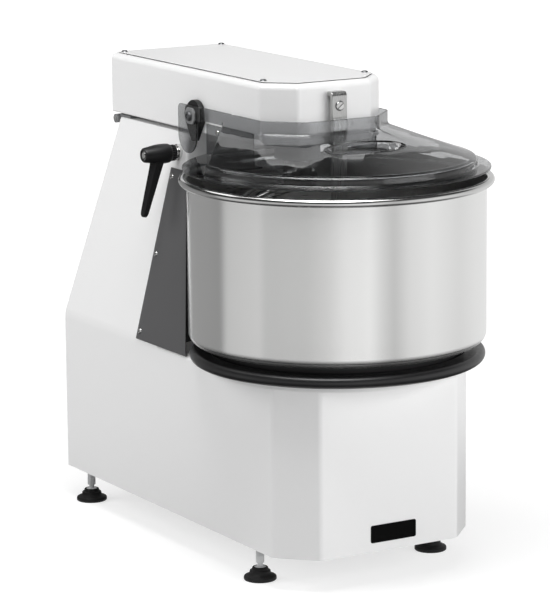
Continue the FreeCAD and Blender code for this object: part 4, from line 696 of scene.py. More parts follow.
wing_rows, front_rows = [], []
for k in range(ROWS + 1):
    share = k / ROWS
    z = COVER_LOW + (COVER_TOP - COVER_LOW) * share
    back_y, front_y = FOLD_LOW + (FOLD_TOP - FOLD_LOW) * share, WING_LOW + (WING_TOP - WING_LOW) * share
    wing_rows.append([(side_x(z, 1.5), back_y + (front_y - back_y) * i / 8, z) for i in range(9)])
    front_rows.append([(side_x(z) * (1 - i / 6), COLUMN_FRONT - 1.6, z) for i in range(13)])
cover = joined(paired(skin(wing_rows, closed=False)), skin(front_rows, closed=False))
column_cover = finished("column_cover_sheet", *cover, "machine", "grey_paint", [grey_powder_coat],
                        replaces=["column_cover"])
sheet = column_cover.modifiers.new("sheet", "SOLIDIFY")
sheet.thickness, sheet.offset = 0.0015, 0
column_cover.modifiers.move(1, 0)

# %% [markdown]
# ## Head
# The head is a sheet hood with rounded corners and a rounded top edge, and a flat cover
# screwed on top. Between the two runs a narrow groove that reads as a dark line. The hood is
# skinned from rings: the rings of the top edge are drawn in along a quarter circle.

# %% Hood and flat cover
HEAD = (COLUMN_HALF, 4.5, 526.0, 43.0)
HEAD_LOW, HEAD_HIGH, SHOULDER = 648.0, 742.7, 10
GROOVE = HEAD_HIGH - 4.6


def head_ring(gap, z):
    return level(rounded(boxed(*HEAD, gap), max(10 - gap, 1.2), 5), z)


rings = [head_ring(0, HEAD_LOW), head_ring(0, HEAD_LOW + 2), head_ring(0, HEAD_HIGH - SHOULDER)]
for k in range(1, 7):
    a = math.pi / 2 * k / 6
    rings.append(head_ring(9.0 * (1 - math.cos(a)), HEAD_HIGH - SHOULDER + SHOULDER * math.sin(a)))
rings += [head_ring(9.4, HEAD_HIGH - 0.6), head_ring(9.5, GROOVE), head_ring(20, GROOVE)]
finished("head_hood", *skin(rings), "head", "white_paint", [white_powder_coat], thickness=2.0,
         replaces=["head_shell"])
rings = [head_ring(gap, HEAD_HIGH + up) for gap, up in ((10.6, 0.9), (10.3, 1.0), (10.3, 1.6), (10.5, 1.9),
                                                       (11.1, 2.0))]
finished("head_flat_cover", *skin(rings, True, True), "head", "white_paint", [white_powder_coat],
         replaces=["head_cover"])

# %% [markdown]
# ## Bowl
# The bowl is spun from one sheet: straight wall, a rounded corner to its floor and a rim
# rolled round a wire. Its profile is a list of points, turned about the axis in 192 steps so
# that its outline stays round. The rim is buffed bright and the inside is duller, so the
# faces get three finishes by where they are.

# %% Bowl
WALL, INNER, RIM_Z, TUBE, BASE_UP, CORNER = 226.5, 225.0, 596.6, 6.2, 350, 15
LEVELS, FLOOR_RINGS = (400, 450, 500, 550, 580), (60, 120, 180)
BUFFED_FROM = 589.8
profile = [(r, BASE_UP) for r in (0, *FLOOR_RINGS)]
profile += arc(WALL - CORNER, BASE_UP + CORNER, CORNER, -90, 0, 12)
profile += [(WALL, z) for z in LEVELS]
profile += arc(WALL + TUBE - 0.5, RIM_Z, TUBE, 205, 360 + 176, 26)
profile += [(INNER, z) for z in (592, *reversed(LEVELS))]
profile += arc(WALL - CORNER, BASE_UP + CORNER, CORNER - 1.5, 0, -90, 10)
profile += [(r, BASE_UP + 2) for r in (*reversed(FLOOR_RINGS), 0)]
bowl = finished("bowl_sheet", *turned(profile, steps=192), "bowl", "steel",
                [bowl_brushed, polished_stainless, bowl_inside], angle=60, replaces=["bowl"])
for face in bowl.data.polygons:
    out = 1000 * math.hypot(face.center.x, face.center.y - AXIS_Y)
    up = 1000 * face.center.z
    if up > BUFFED_FROM:
        face.material_index = 1
    elif out < INNER + 0.6 and face.normal.z > -0.5 and up > BASE_UP + 0.8:
        face.material_index = 2

# %% [markdown]
# ## Ring and feet
# These are turned profiles too. The ring's outer edge is a full round. A foot is a bell of
# rubber moulded round a steel stem: soft steps, then the plated stem with its thread, whose
# turns are grooves 1.5 mm apart.

# %% Ring and feet
PITCH, THREAD, ROOT = 1.5, 6.5, 6.0
profile = [(197, 320.5), (208, 320.5)] + arc(216, 329.5, 9, -90, 90, 20)
profile += [(206, 338.5), (197.6, 338), (196.2, 336.6), (196, 330), (197, 320.5)]
finished("black_ring", *turned(profile, steps=160), "machine", "black_plastic", [black_vinyl],
         replaces=["base_ring"])
pad = [(0, 0), (24, 0), (25, 1), (25, 3.6)] + arc(22.0, 3.8, 3.0, 0, 70, 5)
pad += [(21.0, 7.4), (18.4, 8.6), (16.6, 10.2), (15.9, 11.8), (15.9, 13.0)] + arc(14.2, 13.2, 1.7, 0, 80, 4)
pad += [(13.0, 15.2), (12.4, 16.0), (12.2, 18.4), (11.4, 19.6), (9.2, 20), (9.2, 8), (0, 8)]
stem = [(0, 8.4), (8.8, 8.4), (8.8, 19.6), (5.2, 19.9), (4.0, 20.4), (4.0, 26), (6.1, 26.2),
        (THREAD, 26.8), (THREAD, 37.5)]
for k in range(28):
    stem += [(ROOT, 38 + PITCH * k), (THREAD, 38 + PITCH * (k + 0.5))]
stem += [(ROOT, 82.5), (0, 82.5)]
FEET = [(x, y) for x in (-154, 154) for y in (-24, 529)]
for name, profile, steps, material, slot, angle, node in (
        ("foot_pads_moulded", pad, 48, foot_rubber, "rubber", 50, "foot_pads"),
        ("foot_stems_threaded", stem, 28, bright_zinc, "polished_steel", 40, "foot_stems")):
    feet = joined(*[turned(profile, x, y, steps=steps) for x, y in FEET])
    finished(name, *feet, "machine", slot, [material], angle=angle, replaces=[node])

# %% [markdown]
# ## Spiral hook
# The hook is one round bar that leaves the shaft, swings out to its full radius within the
# first half turn and then winds down into the bowl. That is a rule, so a Geometry Nodes tree
# draws it: a line of many points, each moved by its share of the way, then Curve to Mesh.
# A modelled curve would do as well, but here turns, radius and height stay named inputs.


# %% Spiral tree
def node_group(name, **sockets):
    """A Geometry Nodes tree with named inputs, and the sockets that give them."""
    group = bpy.data.node_groups.new(name, "GeometryNodeTree")
    group.interface.new_socket("Geometry", in_out="INPUT", socket_type="NodeSocketGeometry")
    for title, kind in sockets.items():
        group.interface.new_socket(title, in_out="INPUT", socket_type="NodeSocket" + kind)
    group.interface.new_socket("Geometry", in_out="OUTPUT", socket_type="NodeSocketGeometry")
    return group, add(group, "NodeGroupInput").outputs


def close(group, geometry, steel):
    """End a tree: real geometry, its material, the output."""
    whole = add(group, "GeometryNodeRealizeInstances", {"Geometry": geometry})
    coated = add(group, "GeometryNodeSetMaterial", {"Geometry": whole, "Material": steel})
    add(group, "NodeGroupOutput", {0: coated})


group, given = node_group("spiral_bar", Turns="Float", Radius="Float", Bar="Float", Low="Float",
                          High="Float", Start="Float", Steel="Material")
line = add(group, "GeometryNodeCurvePrimitiveLine", {"End": (0, 0, 1)})
dense = add(group, "GeometryNodeResampleCurve", {"Curve": line, "Count": 520})
share = add(group, "GeometryNodeSplineParameter").outputs["Factor"]
turns = add(group, "ShaderNodeMath", {0: share, 1: given["Turns"]}, operation="MULTIPLY")
angle = add(group, "ShaderNodeMath", {0: turns, 1: 2 * math.pi}, operation="MULTIPLY")

# The radius grows along a quarter of a sine, over the first 0.45 turn.
grow = turns
for operation, amount in (("DIVIDE", 0.45), ("MINIMUM", 1.0), ("MULTIPLY", math.pi / 2), ("SINE", 0.0)):
    grow = add(group, "ShaderNodeMath", {0: grow, 1: amount}, operation=operation)
wide = add(group, "ShaderNodeMath", {0: given["Radius"], 1: given["Start"]}, operation="SUBTRACT")
out = add(group, "ShaderNodeMath", {0: wide, 1: grow, 2: given["Start"]}, operation="MULTIPLY_ADD")
drop = add(group, "ShaderNodeMath", {0: given["Low"], 1: given["High"]}, operation="SUBTRACT")
place = {"Z": add(group, "ShaderNodeMath", {0: drop, 1: share, 2: given["High"]},
                  operation="MULTIPLY_ADD")}
for axis, wave in (("X", "COSINE"), ("Y", "SINE")):
    swing = add(group, "ShaderNodeMath", {0: angle}, operation=wave)
    place[axis] = add(group, "ShaderNodeMath", {0: out, 1: swing}, operation="MULTIPLY")
where = add(group, "ShaderNodeCombineXYZ", place)
wound = add(group, "GeometryNodeSetPosition", {"Geometry": dense, "Position": where})

# The bar's end is round: its radius follows a circle over the last bar radius of its length.
length = add(group, "GeometryNodeSplineParameter").outputs["Length"]
total = add(group, "GeometryNodeSplineLength").outputs["Length"]
near = total
for operation, amount in (("SUBTRACT", length), ("DIVIDE", given["Bar"]), ("MINIMUM", 1.0)):
    near = add(group, "ShaderNodeMath", {0: near, 1: amount}, operation=operation)
cap = add(group, "ShaderNodeMath", {0: 2.0, 1: near}, operation="SUBTRACT")
for operation, amount in (("MULTIPLY", near), ("MAXIMUM", 0.0004), ("SQRT", 0.0)):
    cap = add(group, "ShaderNodeMath", {0: cap, 1: amount}, operation=operation)
ring = add(group, "GeometryNodeCurvePrimitiveCircle", {"Resolution": 28, "Radius": given["Bar"]})
sized = add(group, "GeometryNodeSetCurveRadius", {"Curve": wound, "Radius": cap})
bar = add(group, "GeometryNodeCurveToMesh", {"Curve": sized, "Profile Curve": ring, "Fill Caps": True})
close(group, bar, given["Steel"])
print("spiral tree: %d nodes" % len(group.nodes))


# %% Spiral
def settled(carrier):
    """The mesh that a carrier object's modifiers make; the carrier goes."""
    graph = bpy.context.evaluated_depsgraph_get()
    result = bpy.data.meshes.new_from_object(carrier.evaluated_get(graph), depsgraph=graph)
    carrier.modifiers.clear()
    bpy.data.objects.remove(carrier)
    return result


def evaluated(name, group, values, mesh=None):
    """Run a tree on a carrier object and keep its result as a plain mesh."""
    carrier = placed(name + "_carrier", mesh or bpy.data.meshes.new(name))
    modifier = carrier.modifiers.new("tree", "NODES")
    modifier.node_group = group
    for item in group.interface.items_tree:
        if item.in_out == "INPUT" and item.name in values:
            modifier[item.identifier] = values[item.name]
    result = settled(carrier)
    result.name = name
    return result


SHAFT_Y = 113
hook = evaluated("spiral_bar", group, {
    "Turns": 1.6, "Radius": 0.092, "Bar": 0.012, "Low": 0.370, "High": 0.588, "Start": 0.014,
    "Steel": polished_stainless})
hook.transform(Matrix.Translation(spot(0, SHAFT_Y, 0)))
boss = turned([(0, 573), (19, 573), (21.2, 573.6), (22, 575), (22, 608.6), (21.2, 610.4), (19, 611.4),
               (15.2, 611.4), (15.2, 605), (0, 605)], 0, SHAFT_Y, steps=64)
dress("spiral_bar", cleaned(hook, also=[surface("boss", *boss)]), "spiral", "polished_steel", angle=45,
      replaces=["spiral_hook"])

# %% [markdown]
# ## Breaker bar
# A flat bar stands in front of the head and hangs down into the bowl, bent back to the head
# at its top. Its side view is a list of points with a round bend, swept across the width;
# small bevels catch the light along its edges.

# %% Breaker bar
BAR_FRONT, BAR_BACK, BAR_HALF, BAR_LOW = -10.5, -3.5, 13, 358
HEAD_FRONT, BEND_Z, SCREW_Z = HEAD[1], 722, 708
outline = [(BAR_FRONT, BAR_LOW)] + arc(BAR_FRONT + 7, BEND_Z, 7, 180, 90, 8)
outline += [(HEAD_FRONT, BEND_Z + 7), (HEAD_FRONT, BEND_Z), (BAR_BACK, BEND_Z - 0.2), (BAR_BACK, BAR_LOW)]
bar = skin([[(x, y, z) for y, z in outline] for x in (-BAR_HALF, BAR_HALF)], True, True)
spacer = turned([(4.2, 0), (9, 0), (9, 8), (4.2, 8), (4.2, 0)], 0, HEAD_FRONT, SCREW_Z, "-Y", 40)
finished("breaker_bar_flat", *joined(bar, spacer), "head", "steel", [brushed_bar], edge=1.0,
         replaces=["breaker_bar"])

# %% [markdown]
# ## Guard
# The guard is one sheet, formed over a mould: an upright collar that follows the head, a
# sloping dome whose flats run from the collar to a round edge, a short skirt with a flat brim,
# and two bands that lead to the hinge. Each column of points runs from the collar's top to the
# brim. A point on the collar's outline belongs to an angle on the round edge, and the flats
# between the two are straight lines. A grip is pressed into the front of the dome.

# %% Outline of the guard
COLLAR_TOP, COLLAR_LOW, COLLAR_HALF, COLLAR_SOFT = 688.5, 668.0, 113, 7.0
DOME_R, DOME_Z, SKIRT_R, BRIM_R, BRIM_Z, BACK_Y = 205.0, 632.0, 212.0, 233.0, 617.0, 33.0
SIDE_ANGLE, FRONT_ANGLE = 65, 25


def last_angle(radius):
    """Angle from the front at which a circle meets the guard's back edge."""
    return 90 + math.degrees(math.asin(BACK_Y / radius))


last = last_angle(DOME_R)
guide = [((-COLLAR_HALF, 148), -last), ((-COLLAR_HALF, 31), -SIDE_ANGLE), ((-62, -20), -FRONT_ANGLE),
         ((62, -20), FRONT_ANGLE), ((COLLAR_HALF, 31), SIDE_ANGLE), ((COLLAR_HALF, 148), last)]
lengths = [0.0]
for (a, _), (b, _) in zip(guide, guide[1:]):
    lengths.append(lengths[-1] + (Vector(b) - Vector(a)).length)


def along_collar(distance):
    """Collar point and dome angle at a distance along the collar's outline."""
    distance = min(max(distance, 0), lengths[-1])
    i = next(i for i in range(len(guide) - 1) if distance <= lengths[i + 1] + 1e-9)
    t = (distance - lengths[i]) / (lengths[i + 1] - lengths[i])
    (a, ta), (b, tb) = guide[i], guide[i + 1]
    return Vector(a).lerp(Vector(b), t), ta + (tb - ta) * t


def softened(distance, reach):
    """The same, averaged over a short reach, which rounds the corners."""
    reach = min(reach, distance, lengths[-1] - distance)
    picks = [along_collar(distance + reach * k / 4) for k in range(-4, 5)]
    return sum((p for p, _ in picks), Vector((0, 0))) / 9, sum(a for _, a in picks) / 9


def round_point(turn_angle, radius, z):
    """A point on a round edge, whose last angle fits its radius."""
    over = max(0.0, abs(turn_angle) - SIDE_ANGLE)
    fitted = min(abs(turn_angle), SIDE_ANGLE)
    fitted += over * (last_angle(radius) - SIDE_ANGLE) / (last - SIDE_ANGLE)
    t = math.radians(math.copysign(fitted, turn_angle))
    return Vector((radius * math.sin(t), -radius * math.cos(t), z))


print("collar: %.0f mm round, dome to %.1f degrees" % (lengths[-1], last))

# %% Guard
GRIP_X, GRIP_Y, GRIP_HALF, GRIP_DEEP = -3.0, -87.0, 68.0, 25.0
FINE, FINE_HALF, COARSE, SLOPE_ROWS = 1.5, 75, 2.9, 60
SOFT_SHARES = (0.12, 0.25, 0.38, 0.5, 0.62, 0.75, 0.88, 1.0)


def grip(x, y):
    """Depth of the pressed grip: a pointed lens, deeper to the right, steep by the collar."""
    u = (x - GRIP_X) / GRIP_HALF
    if abs(u) >= 1:
        return 0.0
    chord = math.sqrt(1 - u * u) * GRIP_DEEP
    w = ((y - GRIP_Y) / chord + 1) / 2
    if not 0 < w < 1:
        return 0.0
    wall = min(1.0, (1 - w) / 0.24)
    depth = (5.5 + 3.0 * (u + 1)) * min(1.0, (1 - abs(u)) / 0.14)
    return depth * min(w / 0.76, wall * wall * (3 - 2 * wall))


def bend(a, b, c, shares):
    """Points of a soft bend from a to c that b pulls outwards."""
    return [tuple(a.lerp(b, s).lerp(b.lerp(c, s), s)) for s in shares]


steps, walked = [], 0.0
while walked < lengths[-1]:
    steps.append(walked)
    walked += FINE if abs(walked - lengths[-1] * 0.5) < FINE_HALF else COARSE
columns = []
for distance in (*steps, lengths[-1]):
    (x, y), turn_angle = softened(distance, COLLAR_SOFT)
    dome = round_point(turn_angle, DOME_R, DOME_Z)
    corner = Vector((x, y, COLLAR_LOW))
    below = corner + (dome - corner).normalized() * 6
    column = [(x, y, z) for z in (COLLAR_TOP, COLLAR_TOP - 1, 680, COLLAR_LOW + 5)]
    column += bend(corner + Vector((0, 0, 5)), corner, below, (0.2, 0.4, 0.6, 0.8, 1.0))
    for k in range(1, SLOPE_ROWS + 1):
        p = below.lerp(dome, k / SLOPE_ROWS)
        column.append((p.x, p.y, p.z - grip(p.x, p.y)))
    column += bend(dome, round_point(turn_angle, 211.8, 630.6), round_point(turn_angle, SKIRT_R, 624.6),
                   SOFT_SHARES)
    for radius, z in [(SKIRT_R, 621.6), (212.2, 619.4), (213.0, 618.0), (214.6, 617.2), (216.8, BRIM_Z),
                      (222, BRIM_Z), (BRIM_R - 2, BRIM_Z), (BRIM_R, BRIM_Z)]:
        column.append(tuple(round_point(turn_angle, radius, z)))
    columns.append(column)
verts, faces = skin(columns, closed=False)

# Each side band runs back from the collar and turns out to its ear.
TURN_Y, TURN_R = 202, 2.5
turn_out = [(COLLAR_HALF, y) for y in (150, 162, 174, 186, 198, TURN_Y)]
turn_out += [(COLLAR_HALF + TURN_R * (1 - math.cos(a)), TURN_Y + TURN_R * math.sin(a))
             for a in (0.4, 0.8, 1.2, 1.5708)]
turn_out += [(117, TURN_Y + TURN_R)]
for side_sign, column in ((1, columns[-1]), (-1, columns[0])):
    strip = [[(side_sign * x, y, z) for z in (COLLAR_TOP, COLLAR_TOP - 1, 680, COLLAR_LOW + 5, COLLAR_LOW)]
             for x, y in turn_out]
    first = len(verts)
    verts += column[:4] + [p for line in strip for p in line]
    for c in range(len(strip)):
        a, b = (first, first + 4) if c == 0 else (first + 5 * c - 1, first + 5 * c + 4)
        faces += [(a + r, a + r + 1, b + r + 1, b + r)[::-side_sign] for r in range(3 if c == 0 else 4)]
    faces.append((first + 3, first + 8, first + 7))
finished("guard_dome", verts, faces, "lid", "smoked_clear", [smoked_plastic], angle=60, thickness=3.0,
         edge=0.5, replaces=["guard_lid"])

# %% [markdown]
# ## Ears of the guard
# An ear of the same clear plastic ends each side band and takes a hinge bolt. It is a flat
# plate, so its side view is drawn once, given a thickness with softened edges, and mirrored.


# %% Ears
def plate(outline, x0, x1, soft=1.0):
    """A flat plate from a (y, z) outline between two widths, with softened edges."""
    middle_y, middle_z = (sum(values) / len(outline) for values in zip(*outline))

    def ring(x, draw):
        return [(x, y - draw * (1 if y > middle_y else -1) * (abs(y - middle_y) > 2),
                 z - draw * (1 if z > middle_z else -1) * (abs(z - middle_z) > 2)) for y, z in outline]
    step = soft if x1 > x0 else -soft
    return skin([ring(x0, soft), ring(x0 + step * 0.3, soft * 0.3), ring(x0 + step, 0),
                 ring(x1 - step, 0), ring(x1 - step * 0.3, soft * 0.3), ring(x1, soft)], True, True)


EAR_OUT, EAR_IN = -119.8, -116.8
ear = arc(246, 643, 29, 180, 360, 20) + [(275, 682)] + arc(267, 682, 8, 0, 90, 5)[1:]
ear += [(206, 690), (204.5, 688.5), (204.5, 669), (205.5, 668)] + arc(212, 663, 5, 90, 0, 5)
finished("guard_ears", *paired(plate(ear, EAR_OUT, EAR_IN)), "lid", "smoked_clear", [smoked_plastic],
         angle=40)

# %% [markdown]
# ## Hinge of the guard
# Black nylon blocks on the head carry the bolts; a square washer clamps each ear. The blocks
# taper to a point below, which the bend of the ear hides in front.

# %% Blocks, washers and bolts
HINGE = (233, 674)
block = arc(*HINGE, 24.4, -20, 200, 24) + [(229.5, 635.5), (230.5, 634.2), (236.5, 634.2), (237.5, 635.5)]
finished("guard_hinge_blocks", *paired(plate(block, -COLUMN_HALF - 0.1, EAR_IN + 0.4, 1.2)), "head",
         "black_plastic", [moulded_nylon], replaces=["lid_hinge_blocks"])
square = rounded([(219, 668), (219, 680), (225, 686.5), (241, 686.5), (247, 680), (247, 668), (241, 661.5),
                  (225, 661.5)], 2.5, 4)
finished("guard_hinge_washers", *paired(plate(square, EAR_OUT, EAR_OUT - 3, 0.5)), "lid", "zinc",
         [matt_washer], replaces=["lid_hinge_plates"])
bolt = turned([(0, 0), (7.6, 0), (8, 0.4), (8, 4.6), (7.6, 5), (5, 5), (5, 24.6), (7.4, 24.7), (7.8, 25.2),
               (7.8, 27.4), (6.6, 29.2), (4.2, 29.8), (3.4, 29.8), (3.2, 28.2), (0, 28.2)],
              -98, *HINGE, "-X", 36)
finished("guard_hinge_bolts", *paired(bolt), "lid", "polished_steel", [black_oxide],
         replaces=["lid_hinge_bolts"])

# %% [markdown]
# ## Rear shield
# Behind the guard a fixed plate of the same smoked plastic closes the bowl, screwed to the
# head by its upstands. The CAD solid's outline is right and flat, so a merged copy of its
# mesh with softened edges is enough.


# %% Copies of flat CAD pieces
def softened_copy(node, name, body, slot, material, width):
    """A merged copy of a CAD node's mesh with small rounded edges of a width in mm."""
    mesh = nodes[node].data.copy()
    mesh.name = name
    mesh.materials.clear()
    mesh.materials.append(material)
    cleaned(mesh, 1e-5, flatten=0.5)
    if mesh.has_custom_normals:
        mesh.attributes.remove(mesh.attributes["custom_normal"])
    return dress(name, mesh, body, slot, edge=width, angle=40, replaces=[node])


softened_copy("rear_shield", "rear_shield_plate", "head", "smoked_clear", smoked_plastic, 0.5)

# %% [markdown]
# ## Clamp lever
# The head is locked by a clamping lever: a moulded black hub on a steel stud with a toothed
# collar, so that the arm can be lifted and turned to a handier place. The arm tapers and has
# six soft flats. The collar's teeth are a ring whose radius goes up and down.

# %% Clamp lever
CLAMP, TEETH, FLATS = (286.0, 610.0), 22, 6
hub = turned([(0, 78), (5.4, 78), (6, 79), (6, 117.6), (6.2, 118), (9.4, 118.3), (9.4, 121.4), (11.6, 122),
              (11.6, 129.8), (13.9, 130.6), (14.9, 133), (15.5, 139), (15.5, 147), (14.8, 156),
              (13.4, 164), (12.2, 171), (11.4, 175.2), (9.8, 176.8), (7.6, 176.2), (6.8, 174.4),
              (5.2, 174.6), (5.0, 176.2), (0, 176.2)], 0, *CLAMP, "-X", 48)
collar = []
for x, trim in ((121.4, 0.8), (122.2, 0), (129.0, 0), (129.8, 0.8)):
    radii = [(12.8 if k % 4 < 2 else 11.5) - trim for k in range(TEETH * 4)]
    collar.append([(-x, CLAMP[0] + r * math.cos(2 * math.pi * k / len(radii)),
                    CLAMP[1] + r * math.sin(2 * math.pi * k / len(radii))) for k, r in enumerate(radii)])
start, tip = Vector((-149.5, CLAMP[0], 606)), Vector((-175.5, CLAMP[0], 519))
along = (tip - start).normalized()
wide = Vector((0, 1, 0))
thick = along.cross(wide)
arm = []
for share, size in ((0, 12.6), (0.12, 12.0), (0.3, 10.8), (0.6, 9.2), (0.85, 7.8), (0.93, 7.3), (0.975, 6.0),
                    (1.0, 3.6)):
    centre = start + (tip + along * 6.5 - start) * share
    arm.append([tuple(centre + wide * size * 0.92 * math.cos(a) + thick * size * math.sin(a))
                for a in (2 * math.pi * (k + 0.5) / FLATS for k in range(FLATS))])
lever = finished("clamp_lever_moulded", *joined(hub, skin(collar, True, True), skin(arm, True, True)),
                 "lever", "black_plastic", [moulded_nylon, polished_stainless], edge=1.6, angle=50,
                 replaces=["clamp_lever"])
middle = spot(0, *CLAMP)
for face in lever.data.polygons:
    out = -1000 * face.center.x
    off = 1000 * math.hypot(face.center.y - middle.y, face.center.z - middle.z)
    if (out < 121.5 and off < 9.6) or (out > 174 and off < 6):
        face.material_index = 1

# %% [markdown]
# ## Screws
# Small pan-head screws hold the flat cover, the column cover and the shield. They are the
# same screw again and again, so one is modelled, with a cross recess cut into its head, and a
# Geometry Nodes tree puts a copy on each point of a small mesh, turned to that point's
# outward direction and then by a random angle, as a row of real screws never lines up.


# %% One screw
def cut_by(name, part, cutter):
    """A mesh with another cut out of it."""
    carrier, tool = placed(name, part), placed(name + "_cutter", cutter)
    cut = carrier.modifiers.new("cut", "BOOLEAN")
    cut.operation, cut.object, cut.solver = "DIFFERENCE", tool, "EXACT"
    result = settled(carrier)
    bpy.data.objects.remove(tool)
    return result


def at_origin(*point):
    return Vector(point) / 1000


LONG, THIN, TAPER, FINEST = 2.4, 0.5, 0.6, 1e-7
dome = turned([(0, -4), (2, -4), (2, 0), (3.9, 0), (4, 0.25), (3.8, 1.2), (3.2, 1.95), (2.2, 2.3), (0, 2.4)],
              steps=24)
plus = [(LONG, -THIN), (LONG, THIN), (THIN, THIN), (THIN, LONG), (-THIN, LONG), (-THIN, THIN),
        (-LONG, THIN), (-LONG, -THIN), (-THIN, -THIN), (-THIN, -LONG), (THIN, -LONG), (THIN, -THIN)]
cross = skin([level([(x * TAPER, y * TAPER) for x, y in plus], 0.8), level(plus, 4)], True, True)
screw_mesh = cut_by("pan_head_screw", surface("pan_head", *dome, at_origin, FINEST),
                    surface("cross", *cross, at_origin, FINEST))
screw_mesh.shade_smooth()
screw_mesh.set_sharp_from_angle(angle=math.radians(32))
screw_object = placed("pan_head_screw", screw_mesh)
print("screw: %d faces" % len(screw_mesh.polygons))

# %% [markdown]
# ## Setting the screws
# The tree takes points with an outward direction. Align Rotation turns each copy to it, a
# random angle from a fixed seed turns the copy about itself, and Realize makes it real.

# %% The tree that sets screws
group, given = node_group("set_screws", Screw="Object", Size="Float", Seed="Int", Steel="Material")
outward = add(group, "GeometryNodeInputNamedAttribute", {"Name": "outward"}, data_type="FLOAT_VECTOR")
facing = add(group, "FunctionNodeAlignRotationToVector", {"Vector": outward}, axis="Z")
angle = add(group, "FunctionNodeRandomValue", {2: 0.0, 3: math.pi / 2, "Seed": given["Seed"]},
            data_type="FLOAT")
spin = add(group, "ShaderNodeCombineXYZ", {"Z": angle.outputs[1]})
own = add(group, "FunctionNodeEulerToRotation", {0: spin})
both = add(group, "FunctionNodeRotateRotation", {0: facing, 1: own}, rotation_space="LOCAL")
screw = add(group, "GeometryNodeObjectInfo", {"Object": given["Screw"]}).outputs["Geometry"]
many = add(group, "GeometryNodeInstanceOnPoints", {
    "Points": given["Geometry"], "Instance": screw, "Rotation": both, "Scale": given["Size"]})
close(group, many, given["Steel"])


def set_screws(name, places, body, node, seed, size, steel):
    """Screws at (point, outward direction) places, in mm, for one body."""
    points = bpy.data.meshes.new(name + "_points")
    points.from_pydata([spot(*p) for p, _ in places], [], [])
    facing = points.attributes.new("outward", "FLOAT_VECTOR", "POINT")
    for item, (_, direction) in zip(facing.data, places):
        item.vector = Vector(direction).normalized()
    mesh = evaluated(name, group, {"Screw": screw_object, "Size": size, "Seed": seed,
                                   "Steel": steel}, points)
    dress(name, mesh, body, "polished_steel", angle=32, replaces=[node])


SIDES, lean = (-1, 1), math.atan(LEAN)
places = []
for z in (DECK_Z + 13, (DECK_Z + COVER_TOP) / 2, COVER_TOP - 14):
    y = FOLD_LOW - 8 + (z - DECK_Z) * (FOLD_TOP - FOLD_LOW) / (COVER_TOP - DECK_Z)
    places += [((-s * side_x(z, 1.5), y, z + 0.3), (s * math.cos(lean), 0, math.sin(lean))) for s in SIDES]
set_screws("cover_screws_set", places, "machine", "column_cover_screws", 3, 1.2, polished_stainless)
places = [((s * 90, y, HEAD_HIGH + 1.1), (0, 0, 1)) for s in SIDES for y in (62, 505)]
set_screws("head_screws_set", places, "head", "head_cover_screws", 5, 1.35, screw_steel)
places = [((s * 109.3, y, 654), (s, 0, 0)) for s in SIDES for y in (96.5, 168)]
set_screws("shield_screws_set", places, "head", "shield_screws", 8, 1.2, polished_stainless)
bpy.data.objects.remove(screw_object)

# %% [markdown]
# ## Screw of the breaker bar
# One larger slotted screw with a round head and a thin dark washer under it. It is cut like
# the small screws, but used once, so no tree is needed to set it.

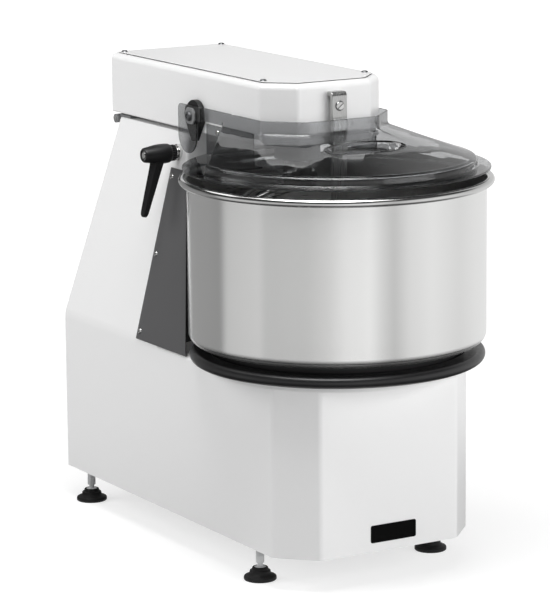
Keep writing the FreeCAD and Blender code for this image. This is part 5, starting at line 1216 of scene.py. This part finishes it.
# %% Slotted screw
WASHER_FROM = 6.95
head = turned([(0, -12), (4, -12), (4, 0), (7.6, 0), (7.8, 0.3), (7.6, 0.6), (7.0, 0.7), (7.0, 1.2),
               (6.6, 1.9), (5.6, 2.3), (0, 2.4)], steps=40)
slot = skin([[(-9, -0.8, z), (9, -0.8, z), (9, 0.8, z), (-9, 0.8, z)] for z in (1.0, 5.0)], True, True)
slotted = cut_by("slotted_screw", surface("slotted_head", *head, at_origin, FINEST),
                 surface("slot", *slot, at_origin, FINEST))
slotted.transform(Matrix.Translation(spot(0, BAR_FRONT, SCREW_Z)) @ Matrix.Rotation(math.pi / 2, 4, "X")
                  @ Matrix.Rotation(math.radians(38), 4, "Z"))
slotted.materials.append(polished_stainless)
slotted.materials.append(black_oxide)
for face in slotted.polygons:
    if math.hypot(face.center.x * 1000, face.center.z * 1000 - SCREW_Z) > WASHER_FROM:
        face.material_index = 1
dress("breaker_bar_slotted_screw", slotted, "head", "polished_steel", angle=32,
      replaces=["breaker_bar_screw"])

# %% [markdown]
# ## Badge
# The badge is a bare acrylic plate with rounded corners. It is skinned from three outlines,
# the last one drawn in, which gives its face a fine bevel.

# %% Badge
flat = rounded([(-34, 66.5), (-34, 93.5), (46, 93.5), (46, 66.5)], 3.0, 4)
rings = [[(x, y, z) for x, z in flat] for y in (-147.4, -148.2)]
rings.append([(6 + (x - 6) * 0.99, -148.5, 80 + (z - 80) * 0.97) for x, z in flat])
finished("plain_badge", *skin(rings, True, True), "machine", "badge_black", [badge_acrylic],
         replaces=["badge"])

# %% [markdown]
# ## Switches and the rest
# The switch box and its two buttons sit on the right side of the column, as softened copies
# of their solids. The inner pieces keep their CAD shapes, which are right, and only get
# their finishes.

# %% Finishes of the carried-over nodes
for node, name, body, slot, material, width in (
        ("switch_panel", "switch_box", "machine", "panel_plastic", panel_black, 1.6),
        ("start_button", "start_button_cap", "start", "green", green_button, 0.8),
        ("stop_button", "stop_button_cap", "stop", "red", red_button, 0.8)):
    softened_copy(node, name, body, slot, material, width)
FINISHES = {
    white_powder_coat: "deck_plate bottom_plate column_top_plate head_base_plate bridge_plate",
    primed_steel: "gearbox_stand clamp_fork lock_tongue bowl_housing spiral_nose input_housing "
                  "upper_bearing",
    machined_steel: "bowl_shaft drive_shaft input_shaft spiral_shaft lower_coupling upper_coupling "
                    "bowl_sprocket drive_sprocket input_sprocket spiral_sprocket lower_chain "
                    "head_chain bowl_bearings spiral_bearings",
    polished_stainless: "foot_nuts hinge_pin bowl_hub",
    matt_washer: "column_hinge",
    black_enamel: "turntable",
    moulded_nylon: "cable_gland",
    cast_grey: "motor gearbox",
    grey_abs: "electric_box",
}
left_over = {name for name in nodes if not nodes[name].hide_render}
for material, names in FINISHES.items():
    for name in names.split():
        nodes[name].data.materials.clear()
        nodes[name].data.materials.append(material)
        left_over.discard(name)
print("nodes without a finish:", sorted(left_over))
